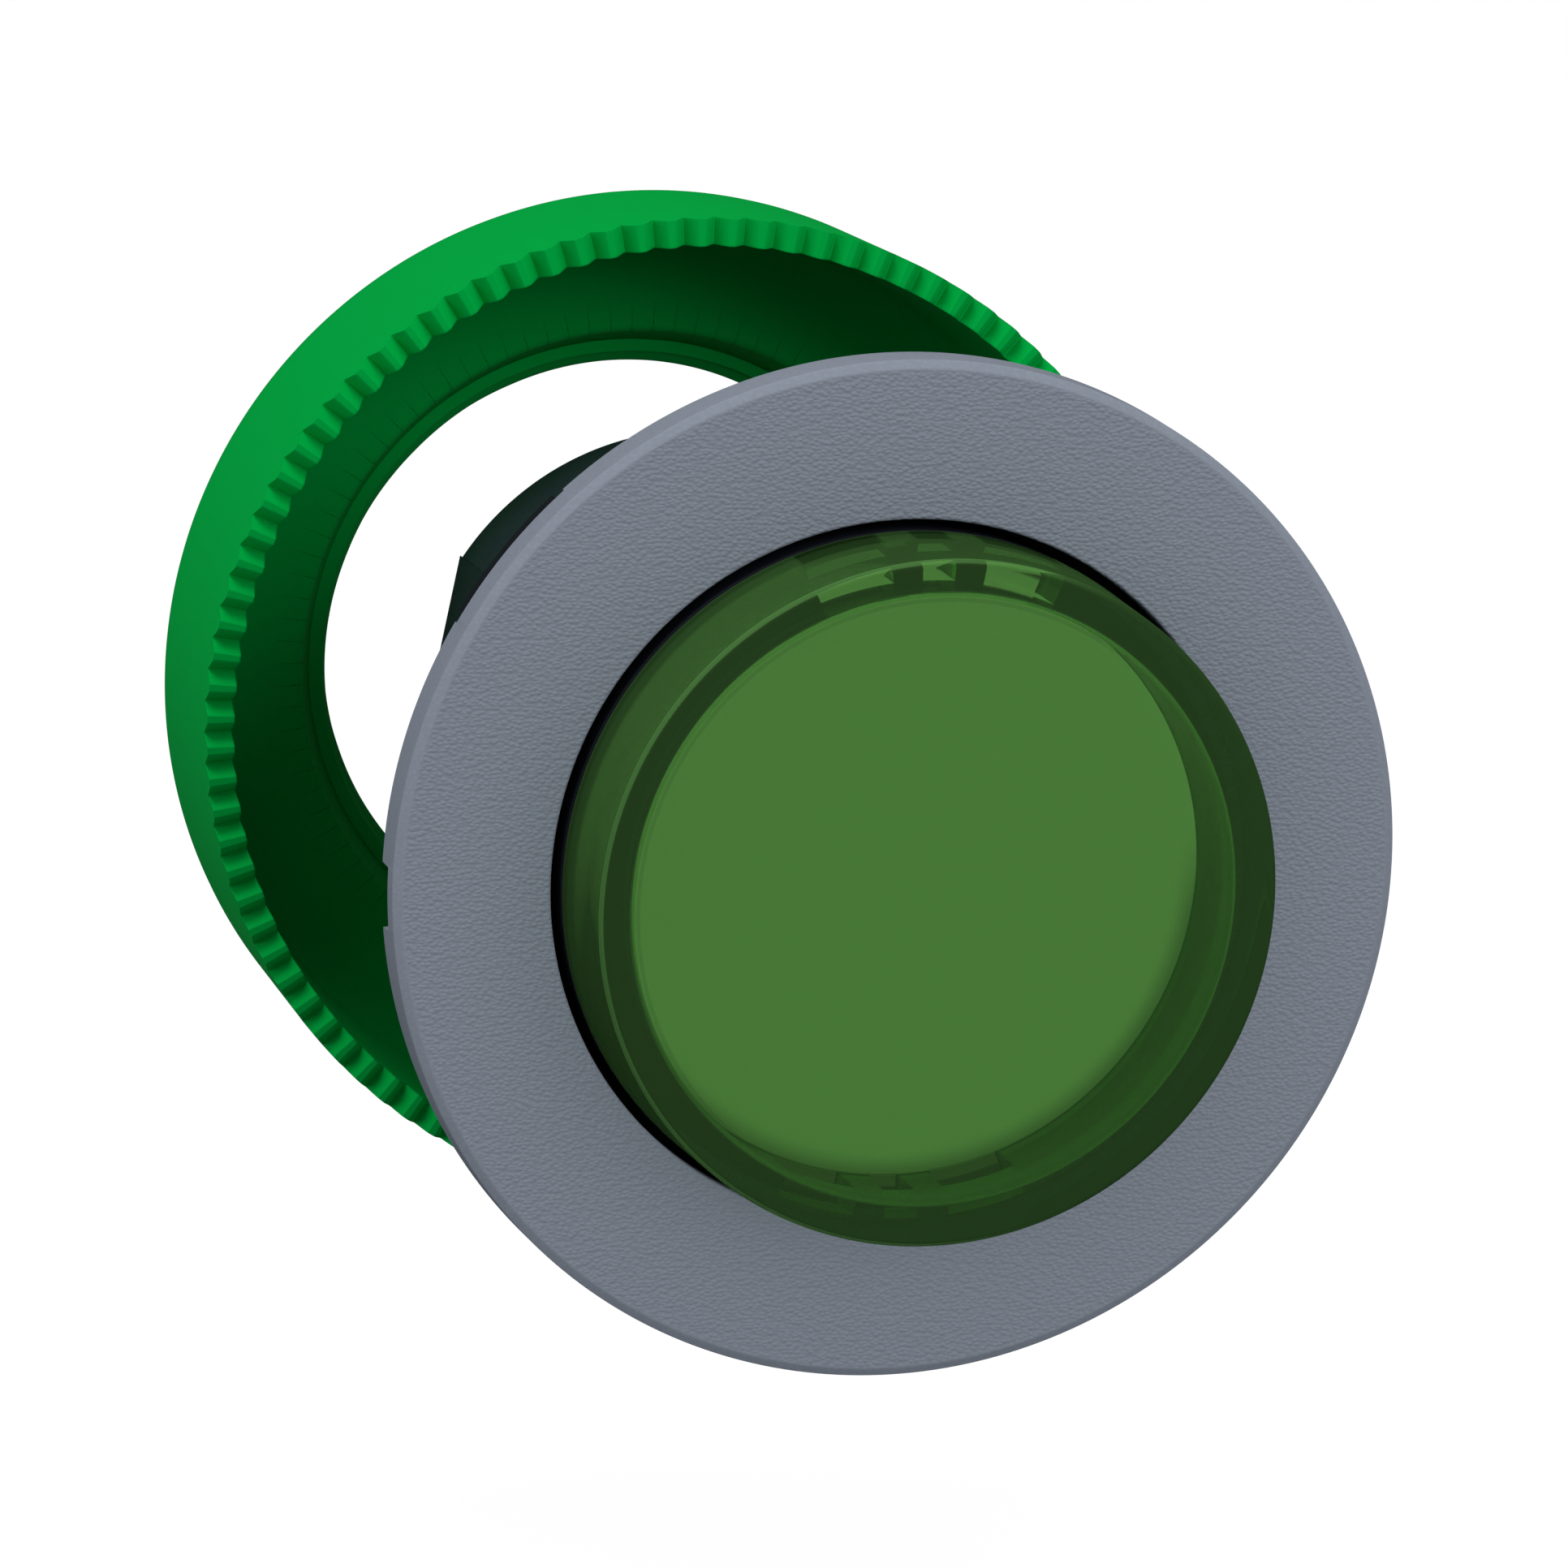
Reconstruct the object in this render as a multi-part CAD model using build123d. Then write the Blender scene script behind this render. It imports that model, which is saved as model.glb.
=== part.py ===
"""Illuminated push-button head for a flush mounting hole, with its fixing nut taken off.

The frame is in millimetres. The origin is the centre of the panel seat, the plane that the
gasket presses on. +Y runs from the front of the panel to the back, along the axis of the
button. +X is to the right and +Z is up, as seen from the front. Angles are counted from +X
towards +Z. Every turned piece is a profile of (radius, y) points turned about the Y axis.
"""

from build123d import *

import math
import os

# The panel hole and how the head sits in it
PANEL_HOLE_DIAMETER = 30.5
PANEL_HOLE_CLEARANCE = 0.2
BEZEL_OVERHANG = 2.75
FLANGE_OVERHANG = 1.35
GASKET_LAND = 0.25
GASKET_INSET = 0.45
GASKET_THICKNESS = 0.55
GASKET_SQUEEZE = 0.1

# Clearances that the fits share
TIGHT_CLEARANCE = 0.05
SEAT_CLEARANCE = 0.1
SLIDE_CLEARANCE = 0.3

# Bezel ring
BEZEL_THICKNESS = 1.65
BEZEL_BORE_ROUND = 0.12
BEZEL_EDGE_WIDTH = 0.3
BEZEL_EDGE_DROP = 0.19
BEZEL_DRAFT = 0.03
BEZEL_POCKET_DEPTH = 0.6
BEZEL_SKIRT_WALL = 0.55
LENS_GAP = 0.34
SNAP_BEAD = 0.22
SNAP_BEAD_WIDTH = 0.6
SNAP_BEAD_FROM_END = 2.6

# Notch at nine o'clock and the shallow recess at the upper left of the rim
NOTCH_TOP = 0.16
NOTCH_SLANT = 0.35
NOTCH_BOTTOM = -2.13
NOTCH_DEPTH = 0.88
NOTCH_RADIAL = 1.1
RECESS_FROM = 133.3
RECESS_TO = 151.8
RECESS_DEPTH = 0.2
RECESS_RADIAL = 0.9
GASKET_EAR_INSET = 1.2

# Lens
LENS_SHOULDER_GAP = 0.92
LENS_DRAFT = 0.13
LENS_PROUD = 4.96
LENS_LIFT = 0.17
LENS_FRONT_WALL = 0.83
LENS_SIDE_WALL = 1.24
LENS_EDGE_ROUND = 0.25
LENS_CAVITY_ROUND = 0.2
LENS_SKIRT_WALL = 0.79
LENS_SKIRT_LENGTH = 3.22
LENS_SEAL_THICKNESS = 0.27

# Windows in the lens wall, and the tabs of the diffuser that sit in them
WINDOW_CENTRES = (90.0, 270.0)
KEY_HALF_ANGLE = 3.0
ARC_OFFSET = 15.5
ARC_HALF_ANGLE = 7.0
WINDOW_HEIGHT = 1.5
TAB_ANGLE_CLEARANCE = 0.5

# Diffuser
DIFFUSER_DROP = 0.37
DIFFUSER_THICKNESS = 1.1
DIFFUSER_SKIRT_WALL = 1.0
DIFFUSER_SKIRT_HEIGHT = 0.4
DIFFUSER_CLEARANCE = 0.16
DIFFUSER_EDGE_ROUND = 0.4

# Legend plate in the front of the diffuser
LEGEND_THICKNESS = 0.4
LEGEND_MARGIN = 0.9

# Lens carrier and plunger
CARRIER_WALL = 0.45
CARRIER_FLOOR = 0.4
TRAVEL = 4.0
COLLAR_INSET = 0.46
SHOULDER_INSET = 0.7
SHOULDER_THICKNESS = 1.0
TUBE_WALL = 1.0
LEG_HALF_ANGLE = 24.0
LEG_CENTRES = (0.0, 180.0)

# Clip that stops the plunger
CLIP_THICKNESS = 0.7
CLIP_GROOVE_DEPTH = 0.4
CLIP_REACH = 0.9
CLIP_GAP_ANGLE = 44.0
CLIP_TO_TUBE_END = 0.3

# Reflector sleeve and lamp hole
SLEEVE_WALL = 0.7
LAMP_LIP = 0.4

# Body
CUP_WALL = 1.35
CUP_FLOOR = 1.6
CUP_REAR_CHAMFER = 0.5
NECK_BORE = 20.0
NECK_WALL = 0.85
NECK_LENGTH = 10.0
NECK_LEAD = 0.6
THREAD_PITCH = 1.5
THREAD_DEPTH = 0.5
THREAD_BASE_WIDTH = 1.2
THREAD_CREST_WIDTH = 0.3
THREAD_FROM_CUP = 0.75
THREAD_FROM_LEAD = 0.75
SHELF_INSET = 1.0
SHELF_THICKNESS = 1.5
BARREL_INSET = 0.32
BARREL_WALL = 1.33
BARREL_REAR_CHAMFER = 0.25
FLAT_ANGLE = 170.6
FLAT_DEPTH = 0.71
FLAT_HALF_WIDTH = 4.1

# Seals inside the body
ORING_SECTION = 0.8
BEAD_HEIGHT = 0.8
BEAD_WIDTH = 1.2
BOOT_WALL = 0.4
BOOT_FOLD_AT = 0.45
BOOT_WIDEST_AT = 0.75
CLAMP_RING_HEIGHT = 1.0

# Spring
SPRING_WIRE = 0.8
SPRING_TURNS = 6.5
SPRING_CLEARANCE = 0.25
SPRING_END_GAP = 0.05

# Guide in the mouth of the barrel
GUIDE_THICKNESS = 1.2
GUIDE_STEP = 0.3
GUIDE_LIP = 0.15
GUIDE_CLEARANCE = 0.42
GUIDE_FROM_REAR = 1.4
GUIDE_COLLAR_HEIGHT = 0.7

# Fixing nut, and how far the end of the body reaches into it
NUT_OVERLAP = 2.2
NUT_RIM_OVERHANG = 2.54
NUT_RIM_WALL = 1.03
NUT_OUTER_DRAFT = 0.27
NUT_INNER_DRAFT = 0.55
NUT_DEPTH = 12.4
NUT_FLOOR = 1.9
NUT_OUTER_ROUND = 3.6
NUT_INNER_ROUND = 3.2
NUT_ROUND_SHARE = 0.92
NUT_TEETH = 98
NUT_TOOTH_DEPTH = 0.62
NUT_TOOTH_LAND = 0.27
NUT_TOOTH_PHASE = 92.6
NUT_HOLE_CLEARANCE = 0.15
NUT_HOLE_LEAD = 0.45
NUT_STEP_WIDTH = 1.5
NUT_STEP_DEPTH = 1.5
NUT_STEP_TAPER = 0.6
NUT_STEP_ROUND = 0.35
NUT_HUB_WALL = 3.0
NUT_HUB_HEIGHT = 3.0
NUT_SLOTS = 4
NUT_FIRST_SLOT = 45.0
NUT_SLOT_WIDTH = 2.4
NUT_SLOT_DEPTH = 1.6
NUT_SLOT_LAND = 0.9

# How far a cutting shape reaches past the surface it cuts
OVERCUT = 1.0

# Places along the axis that the pieces share
RIM_REAR = -GASKET_THICKNESS
FACE = RIM_REAR - BEZEL_THICKNESS
POCKET = RIM_REAR - BEZEL_POCKET_DEPTH
LENS_FRONT = FACE - LENS_PROUD
LENS_BASE = FACE - LENS_LIFT
LENS_END = LENS_BASE + LENS_SKIRT_LENGTH
CARRIER_TOP = LENS_BASE + LENS_SEAL_THICKNESS
CARRIER_SEAT = LENS_END + TIGHT_CLEARANCE
CARRIER_END = CARRIER_SEAT + CARRIER_FLOOR
SHOULDER_TOP = CARRIER_END + BEAD_HEIGHT
SHOULDER_REAR = SHOULDER_TOP + SHOULDER_THICKNESS
DIFFUSER_FRONT = LENS_BASE + DIFFUSER_DROP
DIFFUSER_REAR = DIFFUSER_FRONT + DIFFUSER_THICKNESS
COLLAR_FRONT = DIFFUSER_REAR + DIFFUSER_SKIRT_HEIGHT
CUP_FLOOR_FRONT = SHOULDER_REAR + TRAVEL + SLIDE_CLEARANCE
CUP_REAR = CUP_FLOOR_FRONT + CUP_FLOOR
CLAMP_RING_REAR = CUP_FLOOR_FRONT - BEAD_HEIGHT
CLAMP_RING_FRONT = CLAMP_RING_REAR - CLAMP_RING_HEIGHT
NECK_REAR = CUP_REAR + NECK_LENGTH
SHELF_FRONT = NECK_REAR - SHELF_INSET
SHELF_REAR = SHELF_FRONT + SHELF_THICKNESS
CLIP_FRONT = SHELF_REAR + SLIDE_CLEARANCE
CLIP_REAR = CLIP_FRONT + CLIP_THICKNESS
TUBE_END = CLIP_REAR + CLIP_TO_TUBE_END
GUIDE_FRONT = TUBE_END + TRAVEL + GUIDE_CLEARANCE
GUIDE_REAR = GUIDE_FRONT + GUIDE_THICKNESS
LEG_END = GUIDE_REAR
BODY_REAR = GUIDE_REAR + GUIDE_FROM_REAR
NUT_RIM = BODY_REAR - NUT_OVERLAP
NUT_FLOOR_REAR = NUT_RIM + NUT_DEPTH
NUT_FLOOR_FRONT = NUT_FLOOR_REAR - NUT_FLOOR
NUT_HUB_REAR = NUT_FLOOR_REAR + NUT_HUB_HEIGHT

# Radii that the pieces share, from the panel hole inwards
HOLE_RADIUS = PANEL_HOLE_DIAMETER / 2
SPIGOT_RADIUS = HOLE_RADIUS - PANEL_HOLE_CLEARANCE
FLANGE_RADIUS = HOLE_RADIUS + FLANGE_OVERHANG
BEZEL_RADIUS = HOLE_RADIUS + BEZEL_OVERHANG
GASKET_RADIUS = BEZEL_RADIUS - GASKET_INSET
LAND_RADIUS = HOLE_RADIUS + GASKET_LAND
CUP_BORE_RADIUS = SPIGOT_RADIUS - CUP_WALL
SKIRT_RADIUS = CUP_BORE_RADIUS - SEAT_CLEARANCE
SKIRT_BORE_RADIUS = SKIRT_RADIUS - BEZEL_SKIRT_WALL
LENS_BASE_RADIUS = SKIRT_BORE_RADIUS - LENS_SHOULDER_GAP
LENS_RADIUS = LENS_BASE_RADIUS - LENS_DRAFT
BEZEL_BORE_RADIUS = LENS_BASE_RADIUS + LENS_GAP
CAVITY_RADIUS = LENS_RADIUS - LENS_SIDE_WALL
LENS_SKIRT_RADIUS = CAVITY_RADIUS + LENS_SKIRT_WALL
CARRIER_BORE_RADIUS = LENS_SKIRT_RADIUS + SEAT_CLEARANCE
CARRIER_RADIUS = CARRIER_BORE_RADIUS + CARRIER_WALL
DIFFUSER_RADIUS = CAVITY_RADIUS - DIFFUSER_CLEARANCE
LEGEND_RADIUS = DIFFUSER_RADIUS - LEGEND_MARGIN
COLLAR_RADIUS = CAVITY_RADIUS - COLLAR_INSET
SHOULDER_RADIUS = CARRIER_RADIUS - SHOULDER_INSET

# Radii that the pieces share, from the neck inwards
NECK_BORE_RADIUS = NECK_BORE / 2
NECK_RADIUS = NECK_BORE_RADIUS + NECK_WALL
SPRING_RADIUS = NECK_BORE_RADIUS - SPRING_CLEARANCE - SPRING_WIRE / 2
BARREL_RADIUS = NECK_RADIUS - BARREL_INSET
BARREL_BORE_RADIUS = BARREL_RADIUS - BARREL_WALL
CLIP_RADIUS = BARREL_BORE_RADIUS - SLIDE_CLEARANCE
TUBE_RADIUS = CLIP_RADIUS - CLIP_REACH
TUBE_BORE_RADIUS = TUBE_RADIUS - TUBE_WALL
SLEEVE_RADIUS = TUBE_BORE_RADIUS - SEAT_CLEARANCE
SLEEVE_BORE_RADIUS = SLEEVE_RADIUS - SLEEVE_WALL
LAMP_HOLE_RADIUS = SLEEVE_BORE_RADIUS - LAMP_LIP
NUT_HOLE_RADIUS = NECK_RADIUS + THREAD_DEPTH + NUT_HOLE_CLEARANCE
NUT_HUB_RADIUS = NUT_HOLE_RADIUS + NUT_HUB_WALL
NUT_INNER_RADIUS = HOLE_RADIUS + NUT_RIM_OVERHANG
NUT_RADIUS = NUT_INNER_RADIUS + NUT_RIM_WALL


def turned(*points):
    """Turn a closed profile about the Y axis. A third number in a point rounds that corner."""
    outline = make_face(Polyline([(point[0], point[1]) for point in points], close=True))
    for point in points:
        if len(point) == 3:
            corner = outline.vertices().sort_by_distance((point[0], point[1], 0))[0]
            outline = fillet(corner, point[2])
    return revolve(outline, axis=Axis.Y)


def ring(outer, inner, front, rear):
    """A plain ring between two radii, from the front plane to the rear plane."""
    return turned((inner, front), (outer, front), (outer, rear), (inner, rear))


def disc(outer, front, rear):
    """A plain disc about the axis."""
    return turned((0, front), (outer, front), (outer, rear), (0, rear))


def sector(outer, inner, front, rear, start, end):
    """The part of a ring between two angles."""
    outline = make_face(
        Polyline([(inner, front), (outer, front), (outer, rear), (inner, rear)], close=True)
    )
    return Rot(0, -end, 0) * revolve(outline, axis=Axis.Y, revolution_arc=end - start)


def window_spans(clearance):
    """Start and end angles of the key and the two arcs at each window."""
    spans = []
    for centre in WINDOW_CENTRES:
        for offset, half in (
            (-ARC_OFFSET, ARC_HALF_ANGLE),
            (0.0, KEY_HALF_ANGLE),
            (ARC_OFFSET, ARC_HALF_ANGLE),
        ):
            middle = centre + offset
            spans.append((middle - half + clearance, middle + half - clearance))
    return spans


def make_bezel_ring():
    """Moulded ring: a thin plate with a bevelled edge, and a skirt that snaps into the body."""
    plate = turned(
        (BEZEL_BORE_RADIUS, FACE, BEZEL_BORE_ROUND),
        (BEZEL_RADIUS - BEZEL_EDGE_WIDTH, FACE),
        (BEZEL_RADIUS, FACE + BEZEL_EDGE_DROP),
        (BEZEL_RADIUS + BEZEL_DRAFT, RIM_REAR),
        (FLANGE_RADIUS + TIGHT_CLEARANCE, RIM_REAR),
        (FLANGE_RADIUS + TIGHT_CLEARANCE, POCKET),
        (BEZEL_BORE_RADIUS, POCKET),
    )
    skirt = ring(SKIRT_RADIUS, SKIRT_BORE_RADIUS, POCKET, CLAMP_RING_FRONT)
    bead_front = CLAMP_RING_FRONT - SNAP_BEAD_FROM_END
    bead = turned(
        (SKIRT_RADIUS - TIGHT_CLEARANCE, bead_front),
        (SKIRT_RADIUS + SNAP_BEAD, bead_front + SNAP_BEAD),
        (SKIRT_RADIUS + SNAP_BEAD, bead_front + SNAP_BEAD_WIDTH - SNAP_BEAD),
        (SKIRT_RADIUS - TIGHT_CLEARANCE, bead_front + SNAP_BEAD_WIDTH),
    )
    notch_outline = make_face(
        Polyline(
            [
                (RIM_REAR, NOTCH_TOP),
                (RIM_REAR - NOTCH_DEPTH, NOTCH_TOP - NOTCH_SLANT),
                (RIM_REAR - NOTCH_DEPTH, NOTCH_BOTTOM),
                (RIM_REAR, NOTCH_BOTTOM),
            ],
            close=True,
        )
    )
    outside = Plane(origin=(-BEZEL_RADIUS - OVERCUT, 0, 0), x_dir=(0, 1, 0), z_dir=(1, 0, 0))
    notch = extrude(outside * notch_outline, NOTCH_RADIAL + OVERCUT, dir=(1, 0, 0))
    recess = sector(
        BEZEL_RADIUS + OVERCUT,
        BEZEL_RADIUS - RECESS_RADIAL,
        RIM_REAR - RECESS_DEPTH,
        RIM_REAR,
        RECESS_FROM,
        RECESS_TO,
    )
    return plate + skirt + bead - notch - recess


def make_bezel_seal():
    """O-ring in the front end of the body, pressed by the floor of the bezel's pocket."""
    section = ORING_SECTION / 2 - TIGHT_CLEARANCE / 2
    middle = (SPIGOT_RADIUS + CUP_BORE_RADIUS) / 2
    circle = Pos(middle, POCKET + ORING_SECTION / 2) * Circle(section)
    return revolve(circle, axis=Axis.Y)


def make_panel_gasket():
    """Flat gasket between the rim and the panel, with an ear that shows in the rim's recess."""
    gasket = ring(GASKET_RADIUS, LAND_RADIUS + TIGHT_CLEARANCE, RIM_REAR, 0)
    ear = sector(
        BEZEL_RADIUS,
        GASKET_RADIUS - TIGHT_CLEARANCE,
        RIM_REAR,
        0,
        RECESS_FROM + GASKET_EAR_INSET,
        RECESS_TO - GASKET_EAR_INSET,
    )
    return gasket + ear


def neck_thread():
    """Right-hand thread of the neck: a trapezoid carried along a helix, rooted in the wall."""
    start = CUP_REAR + THREAD_FROM_CUP
    end = NECK_REAR - NECK_LEAD - THREAD_FROM_LEAD
    root = NECK_RADIUS - TIGHT_CLEARANCE
    line = Helix(
        pitch=THREAD_PITCH,
        height=end - start,
        radius=root,
        center=(0, start, 0),
        direction=(0, 1, 0),
    )
    begin = line @ 0
    outwards = Vector(begin.X, 0, begin.Z)
    section = make_face(
        Polyline(
            [
                (0, -THREAD_BASE_WIDTH / 2),
                (THREAD_DEPTH + TIGHT_CLEARANCE, -THREAD_CREST_WIDTH / 2),
                (THREAD_DEPTH + TIGHT_CLEARANCE, THREAD_CREST_WIDTH / 2),
                (0, THREAD_BASE_WIDTH / 2),
            ],
            close=True,
        )
    )
    placed = Plane(origin=begin, x_dir=outwards, z_dir=line % 0) * section
    return sweep(placed, path=line, is_frenet=True)


def make_head_body():
    """Moulded body: a cup that fills the panel hole, a threaded neck and the rear barrel."""
    cup = turned(
        (CUP_BORE_RADIUS, POCKET),
        (FLANGE_RADIUS, POCKET),
        (FLANGE_RADIUS, RIM_REAR),
        (LAND_RADIUS, RIM_REAR),
        (LAND_RADIUS, -GASKET_SQUEEZE),
        (SPIGOT_RADIUS, -GASKET_SQUEEZE),
        (SPIGOT_RADIUS, CUP_REAR - CUP_REAR_CHAMFER),
        (SPIGOT_RADIUS - CUP_REAR_CHAMFER, CUP_REAR),
        (NECK_BORE_RADIUS, CUP_REAR),
        (NECK_BORE_RADIUS, CUP_FLOOR_FRONT),
        (CUP_BORE_RADIUS, CUP_FLOOR_FRONT),
    )
    neck = turned(
        (NECK_BORE_RADIUS, CUP_FLOOR_FRONT),
        (NECK_RADIUS, CUP_FLOOR_FRONT),
        (NECK_RADIUS, NECK_REAR - NECK_LEAD),
        (BARREL_RADIUS, NECK_REAR),
        (BARREL_BORE_RADIUS, NECK_REAR),
        (TUBE_RADIUS + SLIDE_CLEARANCE, SHELF_REAR - NECK_LEAD),
        (TUBE_RADIUS + SLIDE_CLEARANCE, SHELF_FRONT),
        (NECK_BORE_RADIUS, SHELF_FRONT),
    )
    lip = BARREL_BORE_RADIUS + GUIDE_LIP
    seat = BARREL_BORE_RADIUS + GUIDE_STEP
    post = turned(
        (0, SHELF_FRONT),
        (BARREL_RADIUS, SHELF_FRONT),
        (BARREL_RADIUS, BODY_REAR - BARREL_REAR_CHAMFER),
        (BARREL_RADIUS - BARREL_REAR_CHAMFER, BODY_REAR),
        (0, BODY_REAR),
    )
    length = BODY_REAR - NECK_REAR
    middle = (BODY_REAR + NECK_REAR) / 2
    flat = BARREL_RADIUS - FLAT_DEPTH
    trim = Pos(flat + BARREL_RADIUS, middle, 0) * Box(2 * BARREL_RADIUS, length, 2 * BARREL_RADIUS)
    pad = Pos(flat / 2, middle, 0) * Box(flat, length, 2 * FLAT_HALF_WIDTH)
    turn = Rot(0, -FLAT_ANGLE, 0)
    hollow = turned(
        (0, SHELF_FRONT),
        (TUBE_RADIUS + SLIDE_CLEARANCE, SHELF_FRONT),
        (TUBE_RADIUS + SLIDE_CLEARANCE, SHELF_REAR),
        (BARREL_BORE_RADIUS, SHELF_REAR),
        (BARREL_BORE_RADIUS, GUIDE_FRONT),
        (seat, GUIDE_FRONT),
        (seat, GUIDE_REAR + TIGHT_CLEARANCE),
        (lip, GUIDE_REAR + TIGHT_CLEARANCE),
        (lip, BODY_REAR),
        (0, BODY_REAR),
    )
    barrel = post - turn * trim + turn * pad - hollow
    groove = ring(
        (SPIGOT_RADIUS + CUP_BORE_RADIUS + ORING_SECTION) / 2,
        (SPIGOT_RADIUS + CUP_BORE_RADIUS - ORING_SECTION) / 2,
        POCKET,
        POCKET + ORING_SECTION,
    )
    bead_middle = CLAMP_RING_FRONT - SNAP_BEAD_FROM_END + SNAP_BEAD_WIDTH / 2
    snap_groove = ring(
        SKIRT_RADIUS + SNAP_BEAD + TIGHT_CLEARANCE,
        CUP_BORE_RADIUS - TIGHT_CLEARANCE,
        bead_middle - SNAP_BEAD_WIDTH / 2 - TIGHT_CLEARANCE,
        bead_middle + SNAP_BEAD_WIDTH / 2 + TIGHT_CLEARANCE,
    )
    return cup + neck + neck_thread() + barrel - groove - snap_groove


def make_sealing_boot():
    """Rubber boot: an inner bead on the plunger, one fold, and an outer bead on the floor."""
    inner_bead = ring(
        SHOULDER_RADIUS, COLLAR_RADIUS + TIGHT_CLEARANCE, CARRIER_END, SHOULDER_TOP
    )
    outer_bead = ring(
        SKIRT_RADIUS, SKIRT_RADIUS - BEAD_WIDTH, CLAMP_RING_REAR, CUP_FLOOR_FRONT
    )
    bead_middle = (CARRIER_END + SHOULDER_TOP) / 2
    drop = CLAMP_RING_REAR - bead_middle
    web_outer = SKIRT_BORE_RADIUS - SEAT_CLEARANCE - BOOT_WALL / 2
    web_inner = SHOULDER_RADIUS + SLIDE_CLEARANCE + BOOT_WALL
    line = FilletPolyline(
        (SHOULDER_RADIUS - BOOT_WALL, bead_middle),
        (web_outer - TIGHT_CLEARANCE, bead_middle),
        (web_inner, bead_middle + BOOT_FOLD_AT * drop),
        (web_outer, bead_middle + BOOT_WIDEST_AT * drop),
        (web_outer, CLAMP_RING_REAR + BOOT_WALL),
        radius=BOOT_WALL,
    )
    web = revolve(trace(line, BOOT_WALL), axis=Axis.Y)
    return inner_bead + web + outer_bead


def make_boot_clamp_ring():
    """Ring between the bezel's skirt and the boot's outer bead."""
    return ring(SKIRT_RADIUS, SKIRT_BORE_RADIUS, CLAMP_RING_FRONT, CLAMP_RING_REAR)


def make_lens_cap():
    """Transparent lens: a flat-fronted cup with a narrower skirt and windows in its wall."""
    cup = turned(
        (0, LENS_FRONT),
        (LENS_RADIUS, LENS_FRONT, LENS_EDGE_ROUND),
        (LENS_BASE_RADIUS, LENS_BASE),
        (LENS_SKIRT_RADIUS, LENS_BASE),
        (LENS_SKIRT_RADIUS, LENS_END),
        (CAVITY_RADIUS, LENS_END),
        (CAVITY_RADIUS, LENS_FRONT + LENS_FRONT_WALL, LENS_CAVITY_ROUND),
        (0, LENS_FRONT + LENS_FRONT_WALL),
    )
    windows = [
        sector(
            LENS_SKIRT_RADIUS + TIGHT_CLEARANCE,
            CAVITY_RADIUS - TIGHT_CLEARANCE,
            LENS_BASE - WINDOW_HEIGHT,
            LENS_END,
            start,
            end,
        )
        for start, end in window_spans(0.0)
    ]
    return cup - windows


def make_lens_seal():
    """Flat rubber ring between the shoulder of the lens and the top of its carrier."""
    return ring(CARRIER_RADIUS, LENS_SKIRT_RADIUS + TIGHT_CLEARANCE, LENS_BASE, CARRIER_TOP)


def make_diffuser():
    """White disc with a recess, a low skirt, and tabs that reach into the lens's windows."""
    plate = turned(
        (0, DIFFUSER_FRONT),
        (DIFFUSER_RADIUS, DIFFUSER_FRONT, DIFFUSER_EDGE_ROUND),
        (DIFFUSER_RADIUS, DIFFUSER_REAR),
        (0, DIFFUSER_REAR),
    )
    recess = disc(
        LEGEND_RADIUS + TIGHT_CLEARANCE, DIFFUSER_FRONT, DIFFUSER_FRONT + LEGEND_THICKNESS
    )
    skirt = ring(
        COLLAR_RADIUS, COLLAR_RADIUS - DIFFUSER_SKIRT_WALL, DIFFUSER_REAR, COLLAR_FRONT
    )
    tabs = [
        sector(
            LENS_SKIRT_RADIUS - TIGHT_CLEARANCE,
            DIFFUSER_RADIUS - DIFFUSER_CLEARANCE,
            DIFFUSER_FRONT,
            DIFFUSER_REAR,
            start,
            end,
        )
        for start, end in window_spans(TAB_ANGLE_CLEARANCE)
    ]
    return plate - recess + skirt + tabs


def make_legend_plate():
    """Thin white plate that lies flush in the diffuser's recess."""
    return disc(LEGEND_RADIUS, DIFFUSER_FRONT, DIFFUSER_FRONT + LEGEND_THICKNESS)


def make_lens_carrier():
    """Ring that holds the skirt of the lens and clamps the boot's inner bead."""
    return turned(
        (CARRIER_BORE_RADIUS, CARRIER_TOP),
        (CARRIER_RADIUS, CARRIER_TOP),
        (CARRIER_RADIUS, CARRIER_END),
        (COLLAR_RADIUS + TIGHT_CLEARANCE, CARRIER_END),
        (COLLAR_RADIUS + TIGHT_CLEARANCE, CARRIER_SEAT),
        (CARRIER_BORE_RADIUS, CARRIER_SEAT),
    )


def make_plunger():
    """Sliding tube with a collar, a shoulder for the spring and two legs at the rear."""
    tube = turned(
        (TUBE_BORE_RADIUS, SHOULDER_TOP),
        (COLLAR_RADIUS - DIFFUSER_SKIRT_WALL, SHOULDER_TOP),
        (COLLAR_RADIUS - DIFFUSER_SKIRT_WALL, COLLAR_FRONT),
        (COLLAR_RADIUS, COLLAR_FRONT),
        (COLLAR_RADIUS, SHOULDER_TOP),
        (SHOULDER_RADIUS, SHOULDER_TOP),
        (SHOULDER_RADIUS, SHOULDER_REAR),
        (TUBE_RADIUS, SHOULDER_REAR),
        (TUBE_RADIUS, CLIP_FRONT),
        (TUBE_RADIUS - CLIP_GROOVE_DEPTH, CLIP_FRONT),
        (TUBE_RADIUS - CLIP_GROOVE_DEPTH, CLIP_REAR),
        (TUBE_RADIUS, CLIP_REAR),
        (TUBE_RADIUS, TUBE_END),
        (TUBE_BORE_RADIUS, TUBE_END),
    )
    legs = [
        sector(
            TUBE_RADIUS,
            TUBE_BORE_RADIUS,
            TUBE_END - CLIP_TO_TUBE_END,
            LEG_END,
            centre - LEG_HALF_ANGLE,
            centre + LEG_HALF_ANGLE,
        )
        for centre in LEG_CENTRES
    ]
    return tube + legs


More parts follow.
